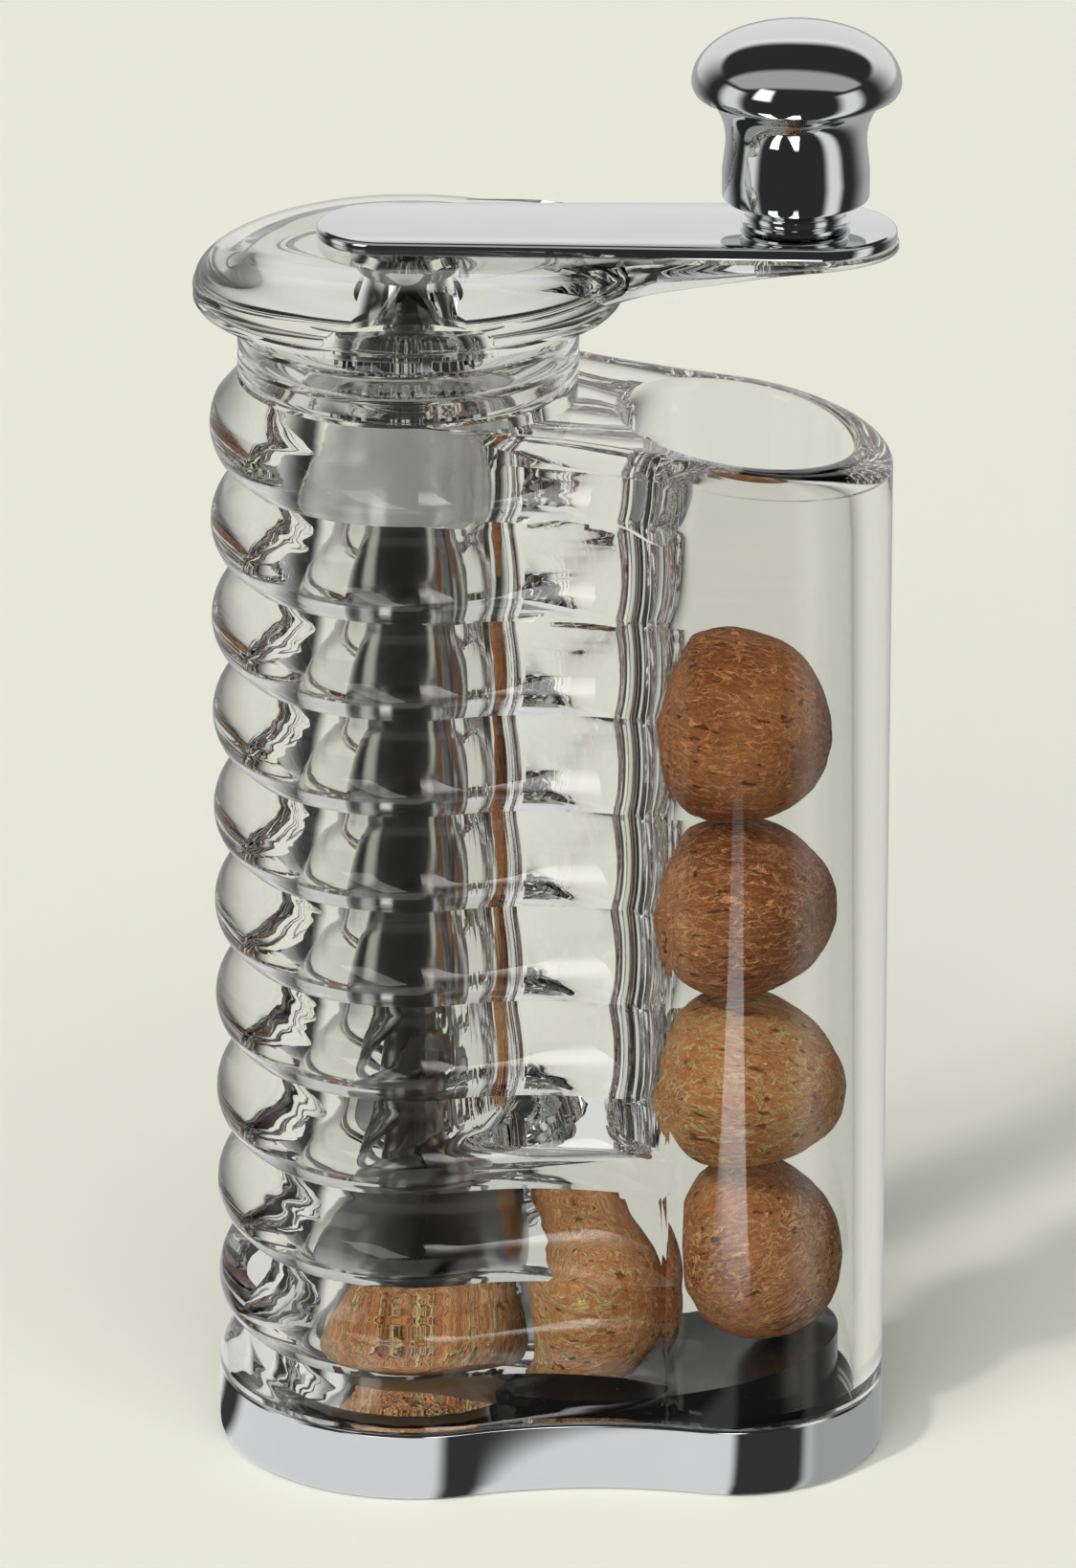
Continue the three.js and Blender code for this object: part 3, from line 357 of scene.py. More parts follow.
def neck_collar():
    inner, outer, groove_spacing = 16.95, 18.85, 2.8
    profile = [[inner, NECK_FOOT + 0.3], [inner + 0.25, NECK_FOOT], [outer - 0.3, NECK_FOOT],
               [outer, NECK_FOOT + 0.3]]
    for line in (1, 2):
        z = NECK_FOOT + line * groove_spacing
        for dz, dr in ((-0.6, 0), (-0.35, 0.12), (-0.12, 0.4), (0.12, 0.4), (0.35, 0.12), (0.6, 0)):
            profile.append([outer - dr, z + dz])
    profile += [[outer, NECK_TOP - 0.5], [outer - 0.25, NECK_TOP - 0.15], [outer - 0.65, NECK_TOP],
                [inner + 0.25, NECK_TOP], [inner, NECK_TOP - 0.3]]
    return revolve(profile, 192, closed=True)


def fluted(radius, z, count=36, depth=0.4, per=8):
    """A ring with round flutes, as on the sleeve's rim and the hub."""
    a = 2 * np.pi * np.arange(count * per) / (count * per)
    r = radius - depth * (0.5 - 0.5 * np.cos(count * a)) ** 0.8
    return flat(np.column_stack([r * np.cos(a), r * np.sin(a)]), z)


def guide_sleeve():
    outer, inner, key_width = 7.9, 7.1, 2.6
    rim = loft([fluted(outer, RIM_FOOT), fluted(outer + 0.3, RIM_FOOT + 0.3),
                fluted(outer + 0.3, RIM_TOP - 0.3), fluted(outer, RIM_TOP)])
    barrel = rod(outer, SLEEVE_FOOT, RIM_FOOT + 1, 128)
    bore = rod(inner, SLEEVE_FOOT - 1, RIM_TOP + 1, 128)
    key = block(-key_width / 2, key_width / 2, 6.3, 7.5, KEY_FOOT, KEY_FOOT + 4.1)
    return join(cut(join(rim, barrel), bore), key)


def base_ring():
    rings, edge, wall, thick = [], 1.5, 1.0, 1.6
    for turn in np.radians(np.linspace(0, 90, 8)):
        rings.append(flat(inset_lobes(edge * (1 - math.sin(turn))), edge * (1 - math.cos(turn))))
    # The first two rows keep the shading of the wall flat up to its soft edges
    for inset, z in ((0, 1.7), (0, RING_HEIGHT - 0.5), (0, RING_HEIGHT - 0.35), (0.1, RING_HEIGHT - 0.1),
                     (0.3, RING_HEIGHT)):
        rings.append(flat(inset_lobes(inset), z))
    hollow = prism(inset_lobes(wall), thick, RING_HEIGHT + 1)
    outlet = revolve([[0, -1], [11.4, -1], [11.4, 0], [11.0, 0.4], [11.0, 3], [0, 3]], 96)
    holes = [moved(rod(SCREW_RADIUS, -1, 3, 48), (x, y, 0)) for x, y in SCREWS]
    holes += [moved(rod(2.7, -1, 1.15, 48), (x, y, 0)) for x, y in SCREWS]
    return cut(loft(rings), hollow, outlet, *holes)


def ramp_height(x, y):
    """The chute's top, which falls towards the grinding bore and is hollow across."""
    along = np.maximum(0, x - 14.0)
    return 8.4 + 0.0058 * along ** 2 + 0.004 * y ** 2


def feed_ramp():
    corner = math.sqrt(SEAT_RADIUS ** 2 - RAMP ** 2)
    angle = math.atan2(RAMP, corner)
    right = [(SPACING + RAMP * math.cos(a), RAMP * math.sin(a))
             for a in np.linspace(-math.pi / 2, math.pi / 2, 48)]
    left = [(SEAT_RADIUS * math.cos(a), SEAT_RADIUS * math.sin(a))
            for a in np.linspace(angle, -angle, 32)]
    outline = np.array(right + left)
    tall = float(ramp_height(SPACING + RAMP, RAMP)) + 1
    body = prism(outline, 4.5, tall)
    sections = []
    for x in np.linspace(corner - 1, SPACING + RAMP + 1, 40):
        across = np.linspace(-RAMP - 1, RAMP + 1, 30)
        sections.append([(x, y, float(ramp_height(x, y))) for y in across]
                        + [(x, RAMP + 1, tall + 2), (x, -RAMP - 1, tall + 2)])
    holes = [moved(rod(SCREW_RADIUS, 4, 8.5, 32), (x, y, 0)) for x, y in SCREWS]
    return cut(body, loft(sections), *holes)


def arm_section(x):
    """Half width and underside of the crank arm at a distance from its axis."""
    beyond = max(0.0, x - ARM_END)
    flare = 5 * (1 - float(smooth(12, 28, x)))
    half = 0.02 if x >= ARM_END + ARM_ROUND else math.sqrt(ARM_ROUND ** 2 - beyond ** 2)
    rise = float(smooth(CAP_RADIUS - 12, 51.2, x)) * (6.6 - 1.1)
    return half + flare, CAP_FOOT + 0.35 + rise


def crank_arm():
    stations = list(np.linspace(6, ARM_END, 40))
    stations += [ARM_END + ARM_ROUND * math.sin(a) for a in np.radians(np.linspace(6, 89, 16))]
    corner = [(math.cos(a), math.sin(a)) for a in np.radians(np.linspace(0, 90, 9))]
    sections = []
    for x in stations:
        width, under = arm_section(x)
        depth = CAP_TOP - under
        r = min(0.95 * width, 0.8 * depth, 3.5)
        left = [(-(width - r + r * c), under + r - r * s) for c, s in corner]
        right = [(width - r + r * c, under + r - r * s) for c, s in reversed(corner)]
        outline = [(-width, CAP_TOP)] + left + right + [(width, CAP_TOP)]
        sections.append([(x, y, z) for y, z in outline])
    return loft(sections)


def socket_radius(z):
    """Radius of the cap's socket, which follows the tapered hub."""
    return 7.0 - 1.9 * (z - HUB_FOOT) / HUB_HEIGHT + 2 * GAP


def crank_cap():
    rim_top = CAP_FOOT + 2.0
    level, edge = 9, CAP_RADIUS - 0.2
    profile = [[0, CAP_FOOT], [CAP_RADIUS - 0.5, CAP_FOOT], [CAP_RADIUS - 0.2, CAP_FOOT + 0.12],
               [CAP_RADIUS - 0.02, CAP_FOOT + 0.4], [CAP_RADIUS - 0.1, CAP_FOOT + 0.75],
               [CAP_RADIUS - 0.35, CAP_FOOT + 1.0], [CAP_RADIUS - 0.1, CAP_FOOT + 1.25],
               [CAP_RADIUS, rim_top - 0.4], [CAP_RADIUS - 0.1, rim_top - 0.1]]
    for turn in np.radians(np.linspace(4, 90, 24)):
        profile.append([level + (edge - level) * math.cos(turn),
                        rim_top + (CAP_TOP - rim_top) * math.sin(turn)])
    profile.append([0, CAP_TOP])
    dome = revolve(profile, 192)
    socket = revolve([[0, CAP_FOOT - 1], [socket_radius(CAP_FOOT - 1), CAP_FOOT - 1],
                      [socket_radius(HUB_TOP + GAP), HUB_TOP + GAP], [0, HUB_TOP + GAP]], 96)
    tools = [socket, rod(2.0, HUB_TOP, CAP_TOP + 1, 64), rod(4.3, HUB_TOP + GAP + 1.1, CAP_TOP + 1, 64),
             moved(rod(3.3, CAP_FOOT, CAP_TOP + 1, 64), (CRANK_RADIUS, 0, 0)),
             moved(rod(4.5, CAP_FOOT, arm_section(CRANK_RADIUS + 4.2)[1], 64), (CRANK_RADIUS, 0, 0))]
    return cut(join(dome, crank_arm()), *tools)


def strip_outline(inset, steps=40):
    """Two round ends of unlike size with straight sides that touch both."""
    wide, slim, start = 8.5, 7.5, -2.55
    big, small = wide - inset, slim - inset
    lean = math.asin((wide - slim) / (ARM_END - start))
    right = np.linspace(-math.pi / 2 - lean, math.pi / 2 + lean, steps)
    left = np.linspace(math.pi / 2 + lean, 1.5 * math.pi - lean, steps)
    return np.concatenate([
        np.stack([ARM_END + big * np.cos(right), big * np.sin(right)], 1),
        np.stack([start + small * np.cos(left), small * np.sin(left)], 1)])


def crank_strip():
    rings, under, over = [], 0.3, 0.6
    for turn in np.radians(np.linspace(-90, 0, 5)):
        rings.append((under * (1 - math.cos(turn)), STRIP_FOOT + under + under * math.sin(turn)))
    for turn in np.radians(np.linspace(0, 90, 7)):
        rings.append((over * (1 - math.cos(turn)), STRIP_TOP - over + over * math.sin(turn)))
    body = loft([flat(strip_outline(inset), z) for inset, z in rings])
    return cut(body, moved(rod(3.75, STRIP_FOOT - 1, STRIP_TOP + 1, 48), (CRANK_RADIUS, 0, 0)))


def drive_hub():
    cone = loft([fluted(6.8, HUB_FOOT), fluted(7.0, HUB_FOOT + 0.2), fluted(7.0, HUB_FOOT + 2.4),
                 fluted(5.2, HUB_TOP - 0.4), fluted(4.9, HUB_TOP)])
    shank = rod(5.4, HUB_FOOT - 6, HUB_FOOT + 1, 96)
    return cut(join(cone, shank), rod(2.0, HUB_FOOT - 3, HUB_TOP + 1, 48))


def drive_tube():
    body = tube(TUBE_BORE, TUBE_RADIUS, TUBE_END, HUB_FOOT - GAP, 0.2, 160)
    lift, half_keyway = 30, 1.6
    return cut(body, block(-half_keyway, half_keyway, 0, 9, KEY_FOOT - lift - GAP, KEY_FOOT + 4.1 + GAP))


def spring_seat():
    top, hole, plug = TUBE_END - GAP, 3.8, TUBE_BORE - GAP
    return revolve([[hole, top - 1.2], [TUBE_RADIUS - 0.2, top - 1.2], [TUBE_RADIUS, top - 1.0],
                    [TUBE_RADIUS, top], [plug, top], [plug, top + 5], [hole, top + 5]], 96, closed=True)


def plunger_rod():
    top, foot, end, thin, thick = TUBE_END + 16, PLATE_TOP + GAP, 22.0, 2.2, 3.5
    return revolve([[0, end], [thin - 0.3, end], [thin, end + 0.3], [thin, foot], [4.6, foot],
                    [4.8, foot + 0.2], [4.8, foot + 1.3], [4.6, foot + 1.5], [thick, foot + 1.5],
                    [thick, top - 3.3], [2.5, top - 3.3], [2.5, top - 1], [thick, top - 1],
                    [thick, top - 0.3], [thick - 0.3, top], [0, top]], 96)


def pressure_plate():
    under = PLATE_TOP - PLATE_THICK
    skirt = under - 4.7
    return revolve([[2.5, under], [9.7, under], [10.0, under - 0.3], [10.0, skirt + 0.2], [10.2, skirt],
                    [10.7, skirt], [10.9, skirt + 0.2], [10.9, PLATE_TOP - 0.9], [10.7, PLATE_TOP - 0.3],
                    [10.2, PLATE_TOP], [2.5, PLATE_TOP]], 144, closed=True)


def prongs():
    """A ring with eight pointed teeth round its lower edge."""
    high = PLATE_TOP - PLATE_THICK - GAP
    low = high - 2.2
    count, per = 8, 14
    total = count * per
    angles = 2 * np.pi * np.arange(total) / total
    tooth = np.abs(((np.arange(total) / per) % 1) - 0.5) * 2
    reach = np.where(tooth > 0.1, low - 5.3 * (tooth - 0.1) / 0.9, low)

    def ring(radius, z):
        level = np.broadcast_to(z, total)
        return np.column_stack([radius * np.cos(angles), radius * np.sin(angles), level])

    outer, inner = 8.45, 7.55
    rows = [ring(outer, reach), ring(outer, high), ring(inner, high), ring(inner, reach)]
    points = np.concatenate(rows).tolist()
    faces = []
    for i in range(4):
        for j in range(total):
            k, o = (j + 1) % total, (i + 1) % 4
            faces.append((i * total + j, i * total + k, o * total + k, o * total + j))
    return points, faces


def knob_shell():
    """The knob, hollow for its pin and clip: stem, hollow neck, a rounded edge and a flat dome."""
    stem_top = KNOB_FOOT + 7.9
    neck_height, dome_height, edge_depth, edge = 5.3, 6.1, 2.2, 2.9
    dome_foot = stem_top + neck_height
    bore_top = KNOB_FOOT + 12.0
    bore, clip, stem = 3.3, 4.8, 7.75
    profile = [[0, bore_top], [bore, bore_top], [bore, bore_top - 1.5], [clip, bore_top - 1.5],
               [clip, bore_top - 3.1], [bore, bore_top - 3.1], [bore, KNOB_FOOT],
               [stem - 0.05, KNOB_FOOT], [stem + 0.25, KNOB_FOOT + 0.12], [stem + 0.35, KNOB_FOOT + 0.4],
               [stem + 0.35, KNOB_FOOT + 3.2], [stem, stem_top - 1.6]]
    for turn in np.radians(np.linspace(0, 78, 16)):
        profile.append([stem + (KNOB_RADIUS - stem) * (1 - math.cos(turn)) * 1.12,
                        stem_top - 1.2 + neck_height * 1.05 * math.sin(turn)])
    profile = [p for p in profile if p[0] <= KNOB_RADIUS - 0.2 or p[1] < stem_top]
    for turn in np.radians(np.linspace(-28, 90, 40)):
        c, s = math.cos(turn), math.sin(turn)
        if turn < 0:
            profile.append([KNOB_RADIUS - edge + edge * c, dome_foot + edge_depth * s])
        else:
            profile.append([KNOB_RADIUS * c ** 0.86, dome_foot + dome_height * s])
    profile.append([0, dome_foot + dome_height])
    clean = [profile[0]]
    for p in profile[1:]:
        if math.dist(p, clean[-1]) > 0.02:
            clean.append(p)
    return revolve(clean, 160)


def knob_collar():
    bore, flange = 3.3, 5.8
    profile = [[bore, COLLAR_FOOT], [flange, COLLAR_FOOT], [flange + 0.25, COLLAR_FOOT + 0.25],
               [flange + 0.2, COLLAR_FOOT + 0.6]]
    for turn in np.radians(np.linspace(60, -60, 9)):
        profile.append([6.3 - math.cos(turn), COLLAR_FOOT + 1.45 - 0.95 * math.sin(turn)])
    profile += [[flange + 0.25, COLLAR_TOP - 0.3], [flange, COLLAR_TOP], [bore, COLLAR_TOP]]
    return revolve(profile, 96, closed=True)


def nutmeg(at, half, tilt, tip, seed, rings=72, segments=110):
    """A whole nutmeg: an egg with shallow furrows that run from end to end along x."""
    tilt = math.radians(tilt)
    points, faces = [], []
    for i in range(rings + 1):
        t = math.pi * i / rings
        for j in range(segments):
            p = 2 * math.pi * j / segments
            d = Vector((math.cos(t), math.sin(t) * math.cos(p), math.sin(t) * math.sin(p)))
            place = Vector((d.x * 1.2, d.y * 2.2, d.z * 2.2)) + Vector((seed * 7.1, seed * 3.3, 0))
            lumps = noise.noise(Vector((d.x, d.y, d.z)) * 1.5 + Vector((seed * 5.0, 0, 0)))
            furrow = noise.noise(place * 2.4)
            fine = abs(noise.noise(place * 6.0))
            r = 1 + 0.035 * lumps + 0.012 * furrow - 0.014 * fine - 0.03 + 0.02 * math.sin(t) ** 2
            x = d.x * half[0] * r + tip * half[0] * max(0.0, d.x) ** 6
            y, z = d.y * half[1] * r, d.z * half[2] * r
            points.append((at[0] + x * math.cos(tilt) + z * math.sin(tilt), at[1] + y,
                           at[2] - x * math.sin(tilt) + z * math.cos(tilt)))
    for i in range(rings):
        for j in range(segments):
            k = (j + 1) % segments
            row, below = i * segments, (i + 1) * segments
            faces.append((row + j, below + j, below + k, row + k))
    return points, faces


def ground_nutmeg():
    """The nutmeg in work, ground flat underneath."""
    foot, radius, belly, rise = 8.7, 10.9, 2.9, 5.6
    profile = [[0.0, 0.0], [4.0, 0.0], [7.0, 0.0], [9.0, 0.0], [9.6, 0.1], [10.2, 0.7], [10.6, 1.6]]
    for turn in np.radians(np.linspace(0, 84, 30)):
        profile.append([radius * math.cos(turn), belly + rise * math.sin(turn)])
    profile.append([0.0, belly + rise])
    points, faces = revolve(profile, 120)
    out = []
    for x, y, z in points:
        d = Vector((x * 0.2, y * 0.2, z * 0.12 + 3))
        dent = 0.012 * abs(noise.noise(d * 3)) + 0.02 * max(0.0, noise.noise(d * 0.9)) + 0.004
        share = 1 - dent * min(1.0, z / 2)
        out.append((x * share, y * share, foot + z * share))
    return out, faces


# Materials
def two_way(operation):
    return (lambda self, other: self.graph.math(operation, self, other),
            lambda self, other: self.graph.math(operation, other, self))


class Wire:
    """A socket that arithmetic works on."""
    __add__, __radd__ = two_way("ADD")
    __sub__, __rsub__ = two_way("SUBTRACT")
    __mul__, __rmul__ = two_way("MULTIPLY")
    __truediv__, __rtruediv__ = two_way("DIVIDE")

    def __init__(self, graph, socket):
        self.graph, self.socket = graph, socket

    def __abs__(self):
        return self.graph.math("ABSOLUTE", self)


class Graph:
    def __init__(self, tree):
        self.tree = tree
        tree.nodes.clear()

    def node(self, kind, settings=None, sockets=None):
        made = self.tree.nodes.new(kind)
        for key, value in (settings or {}).items():
            setattr(made, key, value)
        for key, value in (sockets or {}).items():
            if isinstance(value, Wire):
                self.tree.links.new(value.socket, made.inputs[key])
            else:
                made.inputs[key].default_value = value
        return made

    def out(self, made, key=0):
        return Wire(self, made.outputs[key])

    def math(self, operation, a, b=0.0, clamp=False):
        settings = {"operation": operation, "use_clamp": clamp}
        return self.out(self.node("ShaderNodeMath", settings, {0: a, 1: b}))

    def clamp(self, a):
        return self.math("ADD", a, 0.0, True)

    def step(self, a, low, high):
        made = self.node("ShaderNodeMapRange", {"interpolation_type": "SMOOTHSTEP"},
                         {"Value": a, "From Min": low, "From Max": high})
        return self.out(made)

    def mix(self, factor, a, b):
        made = self.node("ShaderNodeMix", {"data_type": "RGBA"})
        for key, value in ((0, factor), (6, a), (7, b)):
            if isinstance(value, Wire):
                self.tree.links.new(value.socket, made.inputs[key])
            else:
                made.inputs[key].default_value = value if key == 0 else (*value[:3], 1.0)
        return self.out(made, 2)

    def place(self, stretch=(1, 1, 1), turn=(0, 0, 0), offset=(0, 0, 0)):
        coordinates = self.out(self.node("ShaderNodeTexCoord"), "Object")
        turned = self.node("ShaderNodeVectorRotate", {"rotation_type": "EULER_XYZ"},
                           {"Vector": coordinates, "Rotation": turn})
        scaled = self.node("ShaderNodeVectorMath", {"operation": "MULTIPLY_ADD"},
                           {0: self.out(turned), 1: stretch, 2: offset})
        return self.out(scaled)

    def noise(self, vector, scale, detail=2.0, rough=0.5, warp=0.0):
        return self.out(self.node("ShaderNodeTexNoise", None, {
            "Vector": vector, "Scale": scale, "Detail": detail, "Roughness": rough, "Distortion": warp}))

    def bump(self, height, strength, distance, normal=None):
        sockets = {"Height": height, "Strength": strength, "Distance": distance}
        if normal is not None:
            sockets["Normal"] = normal
        return self.out(self.node("ShaderNodeBump", None, sockets))


def material(name, build, clear=False, **constants):
    made = bpy.data.materials.new(name)
    made.use_nodes = True
    graph = Graph(made.node_tree)
    varying = build(graph)
    surface = graph.node("ShaderNodeBsdfPrincipled", None, {**constants, **varying})
    end = graph.node("ShaderNodeOutputMaterial")
    if clear:
        # Lamps shine through clear pieces on what stands inside
        open_way = graph.node("ShaderNodeBsdfTransparent", None, {"Color": (0.9, 0.9, 0.89, 1)})
        shadow = graph.node("ShaderNodeLightPath")
        both = graph.node("ShaderNodeMixShader")
        made.node_tree.links.new(shadow.outputs["Is Shadow Ray"], both.inputs[0])
        made.node_tree.links.new(surface.outputs[0], both.inputs[1])
        made.node_tree.links.new(open_way.outputs[0], both.inputs[2])
        surface = both
    made.node_tree.links.new(surface.outputs[0], end.inputs[0])
    return made


def clear_look(g):
    here = g.place()
    smear = g.step(g.noise(here, 45, 3, 0.6), 0.55, 0.75)
    scratch_at = g.place((900, 900, 60), (0.3, 0.1, 0.5))
    scratch = g.step(g.noise(scratch_at, 1.0, 1, 0.4), 0.72, 0.8)
    waves = g.noise(here, 60, 1, 0.4)
    split = g.node("ShaderNodeSeparateXYZ", None, {0: here})
    ribbed = 1.0 - g.step(g.out(split, 0), 0.004, 0.012)
    flow = g.noise(g.place((22, 22, 430)), 1.0, 1, 0.4, 0.3)
    return {
        "Base Color": g.mix(g.noise(here, 20, 2), (0.845, 0.85, 0.83), (0.885, 0.89, 0.875)),
        "Roughness": 0.004 + 0.012 * smear + 0.02 * scratch,
        "Normal": g.bump(0.36 * waves + 0.75 * flow * ribbed, 1.0, 0.0001),
    }


def shaft_look(g):
    ground = g.noise(g.place((40, 40, 2600)), 1.0, 3, 0.6)
    stain = g.noise(g.place(), 120, 4, 0.6)
    return {
        "Base Color": g.mix(stain, (0.50, 0.50, 0.505), (0.68, 0.68, 0.685)),
        "Roughness": 0.08 + 0.1 * ground + 0.04 * stain,
        "Normal": g.bump(ground, 0.1, 0.00004),
    }


def bush_look(g):
    cloud = g.noise(g.place(), 80, 3, 0.5)
    return {
        "Base Color": g.mix(cloud, (0.93, 0.935, 0.925), (0.98, 0.98, 0.975)),
        "Roughness": 0.22 + 0.1 * cloud,
        "Normal": g.bump(g.noise(g.place(), 1500, 2, 0.5), 0.05, 0.00005),
    }


def chrome_look(g):
    here = g.place()
    smear = g.noise(here, 70, 4, 0.6)
    waves = g.noise(here, 90, 1, 0.4)
    fine = g.noise(g.place((1, 1, 1), (0.4, 0.2, 0.1)), 2600, 2, 0.5)
    return {
        "Base Color": g.mix(smear, (0.70, 0.71, 0.72), (0.80, 0.805, 0.81)),
        "Roughness": 0.012 + 0.03 * g.step(smear, 0.45, 0.8) + 0.008 * fine,
        "Normal": g.bump(waves, 0.05, 0.0006),
    }


def strip_look(g):
    made = chrome_look(g)
    split = g.node("ShaderNodeSeparateXYZ", None, {0: g.place()})
    x, y = (g.out(split, i) * 1000.0 for i in range(2))
    off = y * math.cos(CRANK_TURN) - (x + ORIGIN_X) * math.sin(CRANK_TURN)
    made["Normal"] = g.bump(off * off / -140.0, 1.0, 0.001, made["Normal"])
    return made


def steel_look(g):
    here = g.place()
    turned = g.noise(g.place((60, 60, 5200)), 1.0, 3, 0.6)
    stain = g.noise(here, 160, 4, 0.6)
    return {
        "Base Color": g.mix(stain, (0.34, 0.34, 0.34), (0.52, 0.515, 0.50)),
        "Roughness": 0.2 + 0.14 * turned + 0.08 * stain,
        "Normal": g.bump(turned, 0.12, 0.00004),
    }


def black_look(g):
    here = g.place()
    grain = g.noise(here, 3800, 2, 0.5)
    dust = g.step(g.noise(here, 900, 3, 0.7), 0.62, 0.8)
    return {
        "Base Color": g.mix(dust, (0.006, 0.006, 0.0065), (0.05, 0.035, 0.025)),
        "Roughness": 0.14 + 0.1 * g.noise(here, 60, 3, 0.6) + 0.25 * dust,
        "Normal": g.bump(grain, 0.08, 0.00004),
    }


def nutmeg_skin(seed, tilt, dark, light):
    def look(g):
        turn = (0.0, math.radians(-tilt), 0.0)
        shift = (seed * 0.37, seed * 0.21, 0.0)

        def ridges(stretch, scale, low, high):
            field = g.noise(g.place((stretch, 1, 1), turn, shift), scale, 5, 0.6, 0.9)
            return 1.0 - g.step(abs(field - 0.5), low, high)

        here = g.place((1, 1, 1), turn, shift)
        broad = g.step(g.noise(here, 85, 3, 0.55), 0.3, 0.7)
        fibres = g.step(g.noise(g.place((0.3, 1, 1), turn, shift), 2400, 4, 0.7, 0.8), 0.3, 0.7)
        net = ridges(0.4, 620, 0.004, 0.035)
        threads = ridges(0.7, 1300, 0.004, 0.05)
        cracks = g.step(g.noise(g.place((0.22, 1, 1), turn, shift), 1100, 3, 0.5), 0.62, 0.69)
        tone = g.clamp(0.45 * broad + 0.5 * fibres + 0.4 * threads - 0.2)
        base = g.mix(tone, dark, light)
        lined = g.mix(net * 0.8, base, tuple(min(1.0, 1.45 * c + 0.02) for c in light))
        marked = g.mix(cracks * 0.8, lined, tuple(0.3 * c for c in dark))
        height = 0.5 * fibres + 0.5 * broad + 0.55 * net + 0.4 * threads - 0.9 * cracks
        return {
            "Base Color": marked,
            "Roughness": 0.5 + 0.15 * fibres + 0.15 * cracks,
            "Normal": g.bump(height, 0.9, 0.0003),
        }
    return material(f"nutmeg skin {seed}", look, **{"Specular IOR Level": 0.35})


clear = material("clear acrylic", clear_look, True, **{"IOR": 1.49, "Transmission Weight": 1.0})
chrome = material("polished chrome", chrome_look, Metallic=1.0)
crowned = material("crowned chrome", strip_look, Metallic=1.0)
steel = material("turned steel", steel_look, Metallic=1.0)
shaft = material("ground steel tube", shaft_look, Metallic=1.0)
bush = material("frosted bush", bush_look, True, **{"IOR": 1.3, "Transmission Weight": 0.85})
black = material("black plastic", black_look, **{"IOR": 1.5, "Specular IOR Level": 0.35})
# Each whole nutmeg: middle, half sizes, tilt in degrees, how far one end is drawn out, dark and light
NUTMEGS = [
    ((36.1, 0.0, 87.4), (11.6, 10.9, 11.0), 8, 0.0, (0.22, 0.062, 0.018), (0.66, 0.28, 0.10)),
    ((36.3, 0.0, 65.7), (11.9, 10.8, 10.4), -5, 0.0, (0.22, 0.064, 0.02), (0.76, 0.34, 0.14)),
    ((36.7, 0.0, 44.85), (12.1, 10.9, 10.15), 4, 0.05, (0.46, 0.155, 0.045), (1.0, 0.54, 0.22)),
    ((38.9, 2.2, 23.52), (10.3, 9.9, 10.9), -25, 0.0, (0.26, 0.078, 0.026), (0.92, 0.42, 0.18)),
    # Nutmeg 5's colours are brightened to also paint in the glare seen on it through the ribbed wall
    ((20.8, -2.2, 18.48), (9.5, 9.3, 9.2), 0, 0.0, (0.46, 0.155, 0.05), (1.0, 0.53, 0.23)),
]
# The ground nutmeg's dark and light colours, brightened to also paint in the glare seen on it through the
# ribbed wall
WORN_DARK_PLUS_GLARE, WORN_LIGHT_PLUS_GLARE = (0.50, 0.175, 0.058), (1.0, 0.56, 0.26)


def piece(name, shell, body, look, nodes, turned=False, sharp=32):
    """Makes a finished object in the frame from a shell in millimetres."""
    points = np.asarray(shell[0], float)
    if turned:
        c, s = math.cos(CRANK_TURN), math.sin(CRANK_TURN)
        points = points @ np.array([[c, s, 0], [-s, c, 0], [0, 0, 1]])
    points = (points - [ORIGIN_X, 0, 0]) / 1000
    mesh = bpy.data.meshes.new(name)
    mesh.from_pydata([tuple(p) for p in points], [], shell[1])
    mesh.update()
    volume = sum(p.center.dot(p.normal) * p.area for p in mesh.polygons)
    if volume < 0:
        mesh.flip_normals()
    mesh.shade_smooth()
    mesh.set_sharp_from_angle(angle=math.radians(sharp))
    mesh.materials.append(look)
    made = bpy.data.objects.new(name, mesh)
    bpy.context.scene.collection.objects.link(made)
    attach(made, body)
    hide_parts(*nodes)
    return made


